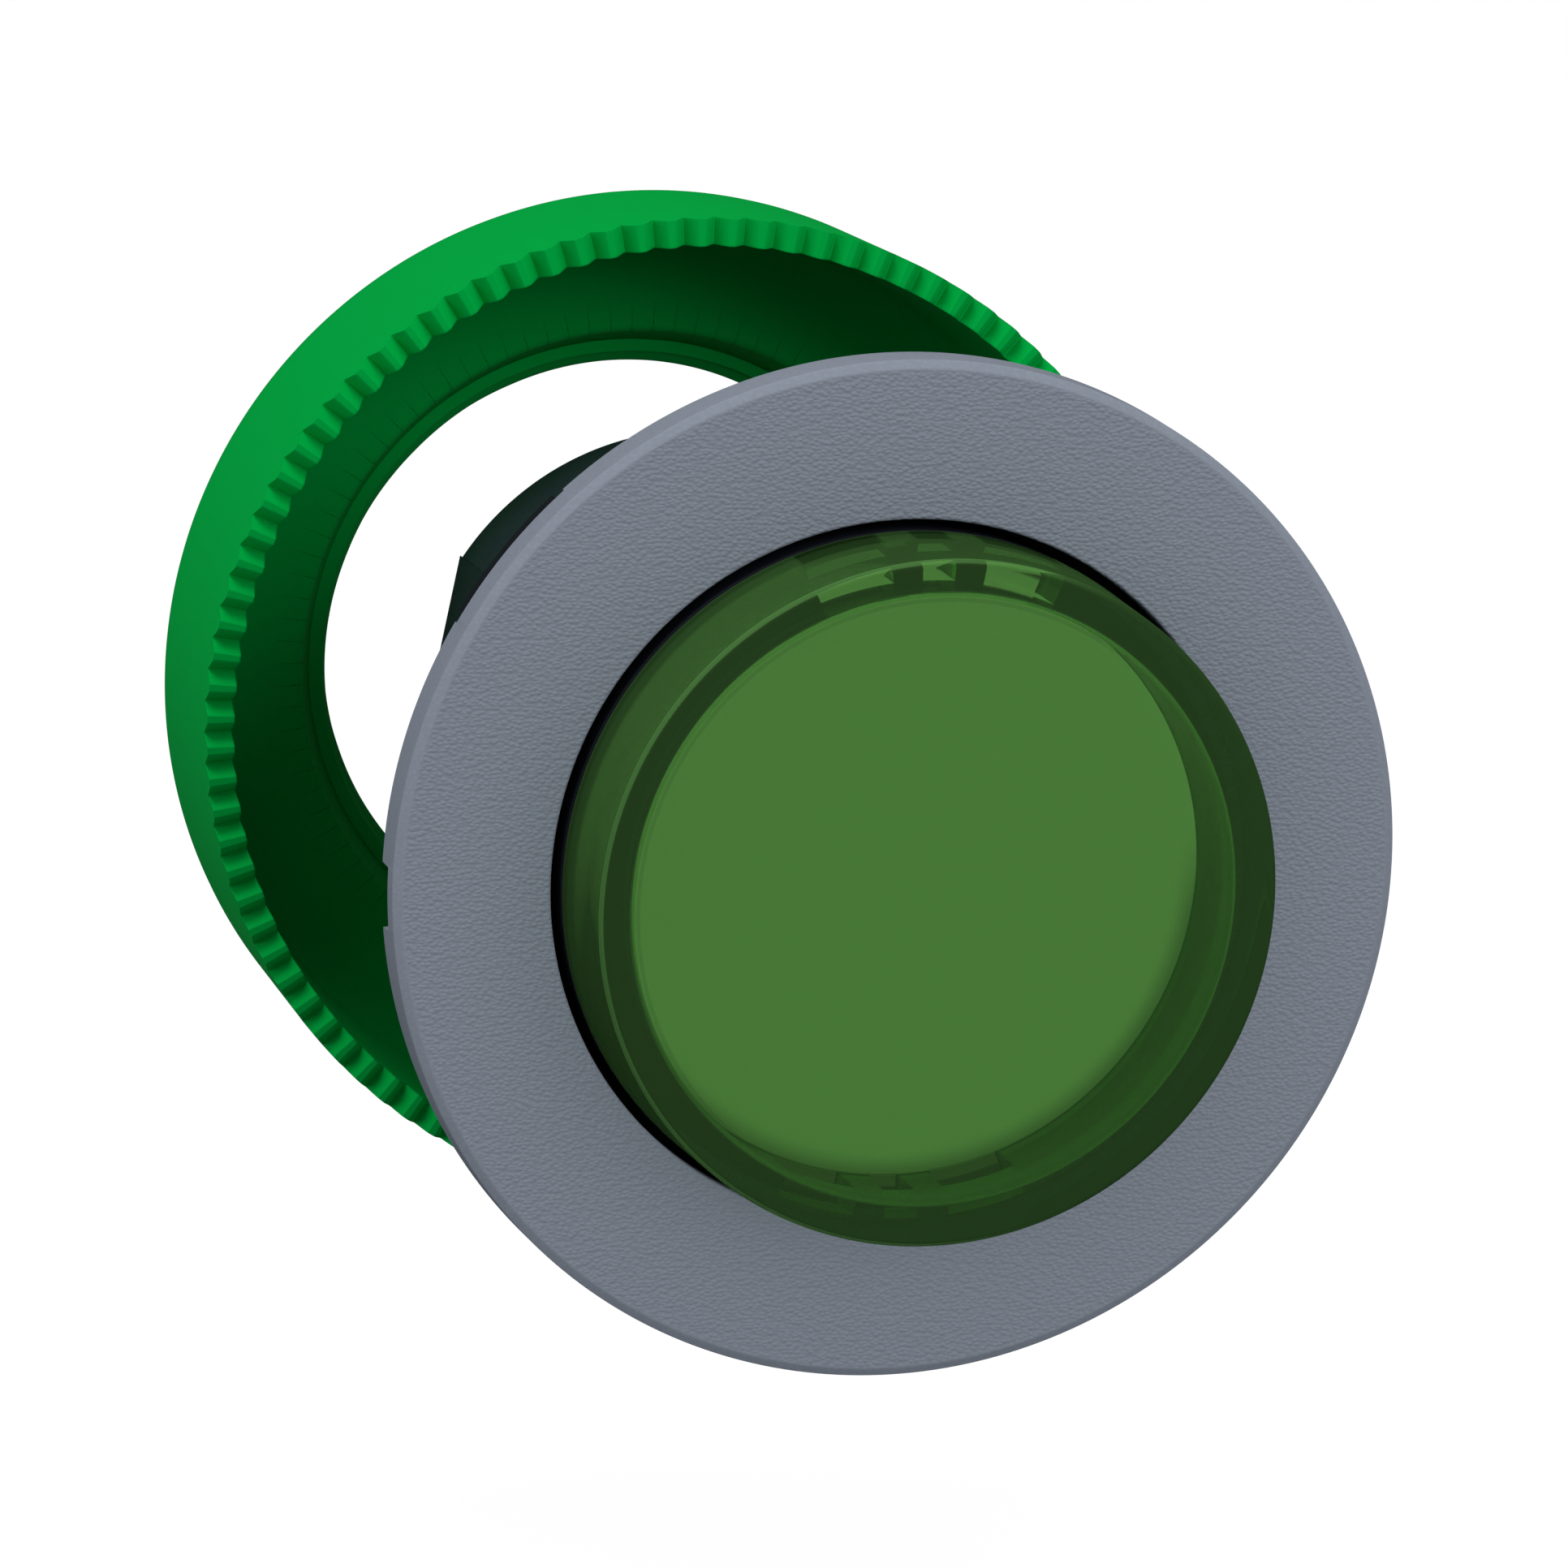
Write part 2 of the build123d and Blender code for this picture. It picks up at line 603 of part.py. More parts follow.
def make_plunger_clip():
    """Split ring in the plunger's groove, which stops against the shelf of the body."""
    return sector(
        CLIP_RADIUS,
        TUBE_RADIUS - CLIP_GROOVE_DEPTH,
        CLIP_FRONT,
        CLIP_REAR,
        CLIP_GAP_ANGLE / 2 - 90,
        270 - CLIP_GAP_ANGLE / 2,
    )


def make_reflector_sleeve():
    """White tube inside the plunger, from the diffuser's skirt to the plunger's end."""
    return ring(
        SLEEVE_RADIUS,
        SLEEVE_BORE_RADIUS,
        COLLAR_FRONT,
        TUBE_END - CLIP_TO_TUBE_END,
    )


def make_return_spring():
    """Coil spring between the plunger's shoulder and the body's shelf, with ground ends."""
    front = SHOULDER_REAR + SPRING_END_GAP
    rear = SHELF_FRONT - SPRING_END_GAP
    length = rear - front
    pitch = length / SPRING_TURNS
    line = Helix(
        pitch=pitch,
        height=length,
        radius=SPRING_RADIUS,
        center=(0, front, 0),
        direction=(0, 1, 0),
    )
    section = Plane(origin=line @ 0, z_dir=line % 0) * Circle(SPRING_WIRE / 2)
    coil = sweep(section, path=line, is_frenet=True)
    slab = disc(NECK_BORE_RADIUS, front, rear)
    return coil & slab


def make_rear_guide():
    """Plate that snaps into the barrel's mouth, with the lamp hole and windows for the legs."""
    outer = BARREL_BORE_RADIUS + GUIDE_STEP - TIGHT_CLEARANCE
    plate = ring(outer, LAMP_HOLE_RADIUS, GUIDE_FRONT, GUIDE_REAR)
    collar = ring(
        TUBE_BORE_RADIUS - SLIDE_CLEARANCE - SEAT_CLEARANCE,
        LAMP_HOLE_RADIUS,
        GUIDE_REAR,
        GUIDE_REAR + GUIDE_COLLAR_HEIGHT,
    )
    leg_clearance = math.degrees(SLIDE_CLEARANCE / TUBE_RADIUS)
    windows = [
        sector(
            TUBE_RADIUS + SLIDE_CLEARANCE,
            TUBE_BORE_RADIUS - SLIDE_CLEARANCE,
            GUIDE_FRONT,
            GUIDE_REAR,
            centre - LEG_HALF_ANGLE - leg_clearance,
            centre + LEG_HALF_ANGLE + leg_clearance,
        )
        for centre in LEG_CENTRES
    ]
    return plate + collar - windows


def make_fixing_nut():
    """Cup-shaped nut with a ring of radial teeth on its rim and a hub round its hole."""
    step = NUT_HOLE_RADIUS + NUT_STEP_WIDTH
    outer_floor = NUT_RADIUS - NUT_OUTER_DRAFT
    inner_floor = NUT_INNER_RADIUS - NUT_INNER_DRAFT
    outer_round = min(NUT_OUTER_ROUND, NUT_ROUND_SHARE * (outer_floor - NUT_HUB_RADIUS))
    inner_round = min(NUT_INNER_ROUND, NUT_ROUND_SHARE * (inner_floor - step - NUT_STEP_ROUND))
    cup = turned(
        (NUT_INNER_RADIUS, NUT_RIM),
        (NUT_RADIUS, NUT_RIM),
        (outer_floor, NUT_FLOOR_REAR, outer_round),
        (NUT_HUB_RADIUS, NUT_FLOOR_REAR),
        (NUT_HUB_RADIUS, NUT_HUB_REAR),
        (NUT_HOLE_RADIUS + NUT_HOLE_LEAD, NUT_HUB_REAR),
        (NUT_HOLE_RADIUS, NUT_HUB_REAR - NUT_HOLE_LEAD),
        (NUT_HOLE_RADIUS, NUT_FLOOR_FRONT + NUT_STEP_DEPTH + NUT_HOLE_LEAD),
        (NUT_HOLE_RADIUS + NUT_HOLE_LEAD, NUT_FLOOR_FRONT + NUT_STEP_DEPTH),
        (step - NUT_STEP_TAPER, NUT_FLOOR_FRONT + NUT_STEP_DEPTH),
        (step, NUT_FLOOR_FRONT, NUT_STEP_ROUND),
        (inner_floor, NUT_FLOOR_FRONT, inner_round),
    )
    inner_pitch = 2 * math.pi * NUT_INNER_RADIUS / NUT_TEETH
    half_groove = (inner_pitch - NUT_TOOTH_LAND) / 2
    groove_outline = make_face(
        Polyline(
            [
                (-half_groove, NUT_RIM),
                (0, NUT_RIM + NUT_TOOTH_DEPTH),
                (half_groove, NUT_RIM),
            ],
            close=True,
        )
    )
    inside = Plane(origin=(NUT_INNER_RADIUS - OVERCUT, 0, 0), x_dir=(0, 0, 1), z_dir=(-1, 0, 0))
    groove = extrude(inside * groove_outline, NUT_RIM_WALL + 2 * OVERCUT, dir=(1, 0, 0))
    pitch = 360 / NUT_TEETH
    grooves = [
        Rot(0, -(NUT_TOOTH_PHASE + (index + 0.5) * pitch), 0) * groove
        for index in range(NUT_TEETH)
    ]
    slot_length = NUT_HUB_WALL - NUT_SLOT_LAND + OVERCUT
    slot = Pos(
        NUT_HUB_RADIUS + OVERCUT - slot_length / 2, NUT_HUB_REAR - NUT_SLOT_DEPTH / 2, 0
    ) * Box(slot_length, NUT_SLOT_DEPTH, NUT_SLOT_WIDTH)
    slots = [
        Rot(0, -(NUT_FIRST_SLOT + index * 360 / NUT_SLOTS), 0) * slot
        for index in range(NUT_SLOTS)
    ]
    return cup - grooves - slots


PIECES = {
    "bezel_ring": make_bezel_ring,
    "bezel_seal": make_bezel_seal,
    "panel_gasket": make_panel_gasket,
    "head_body": make_head_body,
    "sealing_boot": make_sealing_boot,
    "boot_clamp_ring": make_boot_clamp_ring,
    "lens_cap": make_lens_cap,
    "lens_seal": make_lens_seal,
    "legend_plate": make_legend_plate,
    "diffuser": make_diffuser,
    "lens_carrier": make_lens_carrier,
    "plunger": make_plunger,
    "plunger_clip": make_plunger_clip,
    "reflector_sleeve": make_reflector_sleeve,
    "return_spring": make_return_spring,
    "rear_guide": make_rear_guide,
    "fixing_nut": make_fixing_nut,
}

os.makedirs("parts", exist_ok=True)
for name, make in PIECES.items():
    export_step(make(), f"parts/{name}.step")
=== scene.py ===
import math

import bmesh
import bpy
import numpy as np
from bpy.props import FloatProperty, FloatVectorProperty, IntProperty, PointerProperty
from mathutils import Matrix, Vector


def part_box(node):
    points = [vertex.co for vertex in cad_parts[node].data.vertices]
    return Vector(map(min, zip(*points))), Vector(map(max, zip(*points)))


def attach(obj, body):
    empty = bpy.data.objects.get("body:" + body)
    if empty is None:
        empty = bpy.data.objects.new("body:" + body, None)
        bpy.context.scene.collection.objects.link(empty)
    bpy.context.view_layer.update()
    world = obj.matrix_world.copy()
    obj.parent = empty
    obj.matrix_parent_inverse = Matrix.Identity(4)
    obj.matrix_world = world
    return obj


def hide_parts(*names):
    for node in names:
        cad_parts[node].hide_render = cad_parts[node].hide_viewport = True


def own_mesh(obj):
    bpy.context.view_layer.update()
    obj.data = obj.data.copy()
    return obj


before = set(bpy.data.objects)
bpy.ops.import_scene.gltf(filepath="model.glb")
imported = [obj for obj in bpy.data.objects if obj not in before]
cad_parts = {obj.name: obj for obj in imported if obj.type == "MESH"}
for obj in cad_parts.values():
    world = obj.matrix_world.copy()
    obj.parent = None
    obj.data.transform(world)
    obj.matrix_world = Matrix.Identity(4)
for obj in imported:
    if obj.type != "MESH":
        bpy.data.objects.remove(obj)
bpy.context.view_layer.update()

bl_info = {
    "name": "Panel push-button head",
    "version": (1, 0, 0),
    "blender": (4, 5, 0),
    "location": "View3D > Sidebar > Button head",
    "description": "Builds a flush-mounted illuminated push-button head with its clamping nut",
    "category": "Add Mesh",
}

MM = 0.001

# Outlines are in millimetres, and angles round the Y axis in degrees.
EDGE = 0.08
COLUMNS = 288
STEP_ANGLE = 0.012
GASKET_FRONT = -0.55
LENS_BASE = -2.37
NUT_TRAVEL = 24.6
NUT_WALL = 1.03
THREAD_START, THREAD_END = 9.75, 17.65
KEY_SPANS = [(87.0, 93.0), (267.0, 273.0)]
ARC_SPANS = [(67.5, 81.5), (98.5, 112.5), (247.5, 261.5), (278.5, 292.5)]

# The lens and the stage. LAMPS and AIM are in metres, the camera's place in millimetres.
LENS_IOR = 1.22
HAZE = (0.13, 0.34, 0.09, 1.0)
SHADOW_TINT = (0.97, 0.98, 0.97, 1.0)
PAPER_LIT, PAPER_SEEN = "#8A8C8E", "#E4E6E8"
PAPER_GLOW, GLOW_SHARE = 1.08, 0.88
LAMPS = {"key": (-0.22, -0.10, 0.75), "fill": (0.40, -0.83, 0.36), "side": (-0.80, -0.22, 0.08)}
LAMP_SIZE = 0.5
AIM = Vector((0.0, 0.01, 0.0))
CAMERA_PLACE = (-82.00, -273.99, 60.83)
CAMERA_FORWARD = (0.26896, 0.94221, -0.19974)
CAMERA_UP = (0.0, 0.20738, 0.97826)


def linear(text):
    """Turn an sRGB hex colour into linear red, green, blue and an alpha of 1."""
    parts = [int(text[i : i + 2], 16) / 255 for i in (1, 3, 5)]
    made = [p / 12.92 if p <= 0.04045 else ((p + 0.055) / 1.055) ** 2.4 for p in parts]
    return (*made, 1.0)


def length(label, text, size_mm):
    """A length that a user may change, shown in the scene's unit."""
    return FloatProperty(name=label, description=text, default=size_mm * MM, unit="LENGTH", precision=5)


def colour(label, text, hex_text):
    """A colour that a user may change."""
    return FloatVectorProperty(
        name=label, description=text, default=linear(hex_text)[:3], size=3, subtype="COLOR", min=0, max=1
    )


class BezelSizes(bpy.types.PropertyGroup):
    """Sizes of the bezel and of the gasket behind it."""

    diameter: length("Bezel diameter", "Outside diameter of the grey ring", 36.0)
    bore: length("Bore", "Hole that the lens stands in", 24.94)
    thickness: length("Thickness", "From the gasket to the grained face", 1.65)
    grain: length("Grain", "Width of one bump of the grained face", 0.15)
    grain_depth: length("Grain depth", "Height of the grain", 0.041)


class LensSizes(bpy.types.PropertyGroup):
    """Sizes of the lens and of the diffuser in it."""

    front_diameter: length("Front diameter", "Diameter of the lens at its front", 24.0)
    base_diameter: length("Base diameter", "Diameter of the lens at its shoulder", 24.26)
    front_wall: length("Front wall", "Thickness of the lens at its front", 0.83)
    side_wall: length("Side wall", "Thickness of the lens at its side", 1.24)


class BodySizes(bpy.types.PropertyGroup):
    """Sizes of the body, its neck thread and the spring."""

    barrel_diameter: length("Barrel diameter", "Diameter of the rear barrel", 21.06)
    thread_diameter: length("Thread diameter", "Outside diameter of the thread on the neck", 22.7)
    thread_pitch: length("Thread pitch", "Distance from one turn of the thread to the next", 1.5)
    wire: length("Spring wire", "Diameter of the return spring's wire", 0.8)
    turns: FloatProperty(name="Spring turns", description="Turns of the return spring", default=6.5)


class NutSizes(bpy.types.PropertyGroup):
    """Sizes of the fixing nut."""

    rim_diameter: length("Rim diameter", "Outside diameter across the toothed rim", 37.64)
    tooth_depth: length("Tooth depth", "Depth of the notches between the teeth", 0.62)
    teeth: IntProperty(name="Teeth", description="Teeth round the rim", default=98, min=12)
    hole: length("Hole", "Diameter inside the nut's thread", 23.0)


class Finishes(bpy.types.PropertyGroup):
    """Colours of the finishes."""

    bezel: colour("Bezel grey", "Moulded blue-grey polyester", "#8C94A1")
    body: colour("Body black", "Glass-filled nylon, black", "#282B35")
    nut: colour("Nut green", "Moulded nylon, bright green", "#00B147")
    lens: colour("Lens green", "Tint of the clear polycarbonate", "#7BC261")
    diffuser: colour("Diffuser white", "Opal polycarbonate", "#E9EBE4")
    rubber: colour("Seal black", "Nitrile rubber", "#1E2328")
    steel: colour("Spring steel", "Drawn steel wire", "#B9BBBD")


class StageSettings(bpy.types.PropertyGroup):
    """Camera, floor and light."""

    focal: FloatProperty(name="Focal length", description="In mm, on a 36 mm sensor", default=192.8)
    floor_drop: length("Floor drop", "Height of the axis above the floor", 34.0)
    sky: FloatProperty(name="Sky light", description="Even light from all round", default=0.5)
    key: FloatProperty(name="Key light", description="Light from above, 1 is full white", default=0.47)
    fill: FloatProperty(name="Fill light", description="Light from the front right", default=0.38)
    side: FloatProperty(name="Side light", description="Light from the left", default=0.2)
    reflected: FloatProperty(name="Reflected room", description="The room's level in gloss", default=0.02)


GROUPS = {
    "bezel_sizes": BezelSizes,
    "lens_sizes": LensSizes,
    "body_sizes": BodySizes,
    "nut_sizes": NutSizes,
    "finishes": Finishes,
    "stage_settings": StageSettings,
}


def add_node(tree, kind, inputs=None, **settings):
    """Add one shader node with its settings. Each input is a socket to link or a value to set."""
    node = tree.nodes.new(kind)
    for key, value in settings.items():
        setattr(node, key, value)
    for key, value in (inputs or {}).items():
        if isinstance(value, bpy.types.NodeSocket):
            tree.links.new(value, node.inputs[key])
        else:
            node.inputs[key].default_value = value
    return node


def new_material(name):
    """An empty node material: its tree, itself and its output node."""
    material = bpy.data.materials.new(name)
    material.use_nodes = True
    material.node_tree.nodes.clear()
    return material.node_tree, material, material.node_tree.nodes.new("ShaderNodeOutputMaterial")


def four(rgb, factor=1.0):
    """A colour property as red, green, blue and alpha, made lighter or darker by a factor."""
    return (*(min(1.0, channel * factor) for channel in rgb), 1.0)


def round_the_axis(tree):
    """Sockets with the place on the object, its x, its y, its z and its distance from the Y axis."""
    place = add_node(tree, "ShaderNodeTexCoord").outputs["Object"]
    x, y, z = add_node(tree, "ShaderNodeSeparateXYZ", {"Vector": place}).outputs
    flat = add_node(tree, "ShaderNodeCombineXYZ", {"X": x, "Z": z}).outputs["Vector"]
    radius = add_node(tree, "ShaderNodeVectorMath", {0: flat}, operation="LENGTH")
    return place, x, y, z, radius.outputs["Value"]


def maths(tree, operation, *inputs, clamp=False):
    """The result of one step of arithmetic on sockets and numbers."""
    node = add_node(tree, "ShaderNodeMath", dict(enumerate(inputs)), operation=operation, use_clamp=clamp)
    return node.outputs["Value"]


def product(tree, first, *others):
    """Sockets and numbers multiplied with each other."""
    for other in others:
        first = maths(tree, "MULTIPLY", first, other)
    return first


def ramp_of(tree, value, start, end, low=0.0, high=1.0):
    """A value turned into one that goes smoothly from low at the start to high at the end, which
    are in millimetres."""
    limits = {"From Min": start * MM, "From Max": end * MM, "To Min": low, "To Max": high}
    kind = "ShaderNodeMapRange"
    node = add_node(tree, kind, {"Value": value, **limits}, interpolation_type="SMOOTHSTEP")
    return node.outputs["Result"]


def band(tree, value, rise, fall):
    """A value turned into one that is 1 between a rise and a fall, and 0 outside them."""
    return product(tree, ramp_of(tree, value, *rise), ramp_of(tree, value, *fall, 1.0, 0.0))


def tones(tree, value, first, last, start=0.0, end=1.0):
    """A value turned into a colour: the first up to the start, the last from the end on."""
    node = add_node(tree, "ShaderNodeValToRGB", {"Fac": value})
    stops = node.color_ramp.elements
    stops[0].position, stops[0].color = start, first
    stops[1].position, stops[1].color = end, last
    return node.outputs["Color"]


def noise_of(tree, place, size, detail=2.0):
    """Soft noise with lumps of about the size."""
    node = add_node(tree, "ShaderNodeTexNoise", {"Scale": 1 / size, "Detail": detail, "Vector": place})
    return node.outputs["Fac"]


def bump_of(tree, height, distance, strength):
    """A normal bent by a height of up to the distance."""
    sizes = {"Distance": distance, "Strength": strength}
    return add_node(tree, "ShaderNodeBump", {"Height": height, **sizes}).outputs["Normal"]


def gloss_of(tree, value, low, high):
    """The middle of a noise turned into a roughness from low to high."""
    limits = {"From Min": 0.3, "From Max": 0.7, "To Min": low, "To Max": high}
    return add_node(tree, "ShaderNodeMapRange", {"Value": value, **limits}).outputs["Result"]


def mix_of(tree, share, first, second):
    """Two shaders mixed, of which the second has the share."""
    return add_node(tree, "ShaderNodeMixShader", {0: share, 1: first, 2: second}).outputs["Shader"]


def cover(tree, output, inputs):
    """Give a material its surface, of one Principled shader."""
    surface = add_node(tree, "ShaderNodeBsdfPrincipled", inputs)
    tree.links.new(surface.outputs["BSDF"], output.inputs["Surface"])


def spark_eroded_polyester(rgb, grain, grain_depth, rim):
    """Blue-grey polyester from a spark-eroded mould: a matt leather grain of soft pebbles on the
    face, and a smooth polished band along the rim that catches a lighter edge."""
    tree, material, output = new_material("Spark-eroded grey polyester")
    place, _, _, _, radius = round_the_axis(tree)
    stretch = add_node(tree, "ShaderNodeMapping", {"Scale": (0.72, 1.0, 1.15), "Vector": place})
    lumps = {"Vector": stretch.outputs["Vector"], "Scale": 1 / grain}
    softness = {"Detail": 2.0, "Roughness": 0.6, "Distortion": 0.2}
    wander = add_node(tree, "ShaderNodeTexNoise", {**lumps, **softness}).outputs["Fac"]
    spread = {"Smoothness": 0.25, "Randomness": 0.9}
    pebbles = add_node(tree, "ShaderNodeTexVoronoi", {**lumps, **spread}, feature="SMOOTH_F1")
    limits = {"From Min": 0.0, "From Max": 0.8, "To Min": 1.0, "To Max": 0.0}
    domes = add_node(tree, "ShaderNodeMapRange", {"Value": pebbles.outputs["Distance"], **limits})
    mixed = {"Factor": 0.8, "A": wander, "B": domes.outputs["Result"]}
    relief = add_node(tree, "ShaderNodeMix", mixed).outputs["Result"]
    grained = ramp_of(tree, radius, rim - 0.44, rim - 0.3, 1.0, 0.15)
    surface = {
        "Base Color": tones(tree, relief, four(rgb, 0.97), four(rgb, 1.03), 0.3, 0.62),
        "Normal": bump_of(tree, relief, grain_depth, grained),
        "Roughness": 0.55,
        "Specular IOR Level": 0.3,
    }
    cover(tree, output, surface)
    return material


def moulded_plastic(name, rgb, roughness, grain, grain_depth, spread):
    """Injection-moulded plastic: an even colour with faint flow clouds, and a fine skin texture
    that breaks up the gloss a little."""
    tree, material, output = new_material(name)
    place = add_node(tree, "ShaderNodeTexCoord").outputs["Object"]
    clouds = noise_of(tree, place, 9 * MM)
    skin = noise_of(tree, place, grain)
    surface = {
        "Base Color": tones(tree, clouds, four(rgb, 1 - spread), four(rgb, 1 + spread), 0.35, 0.65),
        "Roughness": gloss_of(tree, skin, roughness - 0.05, roughness + 0.05),
        "Normal": bump_of(tree, skin, grain_depth, 0.6),
    }
    cover(tree, output, surface)
    return material


def moulded_green_nylon(rgb, shade_radius):
    """Bright green nylon: a satin skin with little white gloss, and darker inside the cup, within
    the shade radius, which is painted shade."""
    tree, material, output = new_material("Moulded green nylon")
    place, _, _, _, radius = round_the_axis(tree)
    # Painted shade: inside the cup's wall the green falls to two thirds.
    outside = ramp_of(tree, radius, shade_radius - 0.06, shade_radius + 0.1)
    surface = {
        "Base Color": tones(tree, outside, four(rgb, 0.67), four(rgb)),
        "Normal": bump_of(tree, noise_of(tree, place, 0.2 * MM), 0.003 * MM, 0.5),
        "Roughness": 0.45,
        "Specular IOR Level": 0.03,
    }
    cover(tree, output, surface)
    return material


# Where the lens's tint deepens and where light and shade are painted on the lens and on the
#  white plastic, in millimetres: the start and the end of each ramp. Y is the place along the axis,
#  RADIUS the distance from it and X the place to the right, or for the windows to either side.
SIDE_RADIUS = (11.95, 12.0)
CEILING_Y = ((-6.45, -6.4), (-6.26, -6.2))
RING_SHADE_RADIUS = ((10.4, 10.44), (10.54, 10.58))
CAVITY_RADIUS = ((10.6, 10.64), (10.7, 10.74))
FRONT_RADIUS, FRONT_Y, FRONT_X = (11.84, 11.9), (-6.98, -6.94), (7.0, -2.0)
BASE_Y, BAND_Y = (-2.5, -2.46), (-2.95, -2.8)
ARC_WINDOW_X, KEY_WINDOW_X = ((1.74, 1.84), (4.58, 4.68)), (0.58, 0.68)
WINDOW_Y, WINDOW_HEIGHT = (-3.85, -3.7), (6.0, 8.0)
DISC_EDGE_RADIUS, TAB_RADIUS, TAB_END_RADIUS = (9.9, 10.74), (10.72, 10.8), (11.12, 11.28)
LOWER_HEIGHT = (2.0, -2.0)


def tinted_polycarbonate(rgb):
    """Clear green polycarbonate: polished, and tinted at each crossing of its skin. A slight haze
    of pigment keeps its thick wall from going black. More haze paints highlight lines on the
    rounded edges: round the cavity, along the left of the front and round the base, and a faint
    lighter band on the side. Less haze over the windows at the top paints shade there, and a ring
    of darker tint on the ceiling inside the cavity's edge is a painted shadow. Light that falls
    through it on other pieces is hardly tinted."""
    tree, material, output = new_material("Clear green polycarbonate")
    place, across, along, height, radius = round_the_axis(tree)
    side = ramp_of(tree, radius, *SIDE_RADIUS)
    ceiling = band(tree, along, *CEILING_Y)
    # Painted shadow: a thin ring of darker tint on the ceiling just inside the cavity's edge, added to
    # the deeper tint of the side.
    groove = product(tree, band(tree, radius, *RING_SHADE_RADIUS), 0.3)
    deep_tint_and_shade = maths(tree, "MULTIPLY_ADD", groove, ceiling, product(tree, side, 0.86))
    clear = add_node(
        tree,
        "ShaderNodeBsdfPrincipled",
        {
            "Base Color": tones(tree, deep_tint_and_shade, four(rgb), four(rgb, 0.0)),
            "Normal": bump_of(tree, noise_of(tree, place, 5 * MM, 1.0), 0.002 * MM, 0.3),
            "Roughness": 0.0,
            "IOR": LENS_IOR,
            "Specular IOR Level": 0.2,
            "Transmission Weight": 1.0,
        },
    )
    haze = add_node(tree, "ShaderNodeBsdfDiffuse", {"Color": HAZE})
    inner_skin = add_node(tree, "ShaderNodeNewGeometry").outputs["Backfacing"]
    skin = maths(tree, "SUBTRACT", 1.0, inner_skin)
    cavity = band(tree, radius, *CAVITY_RADIUS)
    edge = product(tree, ramp_of(tree, radius, *FRONT_RADIUS), ramp_of(tree, along, *FRONT_Y, 1.0, 0.0))
    front = product(tree, edge, ramp_of(tree, across, *FRONT_X))
    base = ramp_of(tree, along, *BASE_Y)
    even = product(tree, side, ramp_of(tree, along, *BAND_Y, 1.0, 0.0))
    aside = maths(tree, "ABSOLUTE", across)
    arcs = [ramp_of(tree, aside, *ARC_WINDOW_X[0]), ramp_of(tree, aside, *ARC_WINDOW_X[1], 1.0, 0.0)]
    windows = maths(tree, "MULTIPLY_ADD", *arcs, ramp_of(tree, aside, *KEY_WINDOW_X, 1.0, 0.0))
    above = product(tree, ramp_of(tree, along, *WINDOW_Y), ramp_of(tree, height, *WINDOW_HEIGHT))
    window_shade = product(tree, windows, above, side)
    share = product(tree, skin, 0.16)
    # Painted highlights: more haze on thin lines round the cavity's edge, the left of the front edge and
    # the base, and a faint band on the side; less haze over the top windows is painted shade.
    for mask, amount in (
        (product(tree, cavity, ceiling), 0.62),
        (product(tree, front, skin), 0.3),
        (product(tree, base, skin), 0.2),
        (product(tree, even, skin), 0.05),
        (product(tree, window_shade, skin), -0.1),
    ):
        share = maths(tree, "MULTIPLY_ADD", mask, amount, share)
    hazy = mix_of(tree, share, clear.outputs["BSDF"], haze.outputs["BSDF"])
    shadow = add_node(tree, "ShaderNodeLightPath").outputs["Is Shadow Ray"]
    lit = add_node(tree, "ShaderNodeBsdfTransparent", {"Color": SHADOW_TINT})
    mixed = mix_of(tree, shadow, hazy, lit.outputs["BSDF"])
    tree.links.new(mixed, output.inputs["Surface"])
    return material


def opal_white(rgb):
    """Opal white plastic with painted shade: in the lower half the edge of the disc is darker,
    where little light gets under the lens, and so are the tabs; the outer ends of all the tabs are
    nearly black."""
    tree, material, output = new_material("Opal white polycarbonate")
    place, _, _, height, radius = round_the_axis(tree)
    # Painted shade: darker disc edge and tabs in the lower half, and nearly black tab ends.
    lower = ramp_of(tree, height, *LOWER_HEIGHT)
    disc_edge = product(tree, ramp_of(tree, radius, *DISC_EDGE_RADIUS), lower, 0.55)
    lower_tabs = product(tree, ramp_of(tree, radius, *TAB_RADIUS), lower, 0.3)
    tab_ends = product(tree, ramp_of(tree, radius, *TAB_END_RADIUS), 0.92)
    darkness = disc_edge
    for part in (lower_tabs, tab_ends):
        darkness = maths(tree, "ADD", darkness, part, clamp=True)
    surface = {
        "Base Color": tones(tree, darkness, four(rgb), four(rgb, 0.04)),
        "Normal": bump_of(tree, noise_of(tree, place, 0.15 * MM), 0.002 * MM, 0.6),
        "Roughness": 0.5,
        "Specular IOR Level": 0.3,
    }
    cover(tree, output, surface)
    return material


def drawn_steel(rgb):
    """Drawn spring steel: bright metal with fine drawing scratches."""
    tree, material, output = new_material("Drawn spring steel")
    place = add_node(tree, "ShaderNodeTexCoord").outputs["Object"]
    gloss = gloss_of(tree, noise_of(tree, place, 0.4 * MM, 4.0), 0.22, 0.38)
    cover(tree, output, {"Base Color": four(rgb), "Metallic": 1.0, "Roughness": gloss})
    return material


MADE = {}


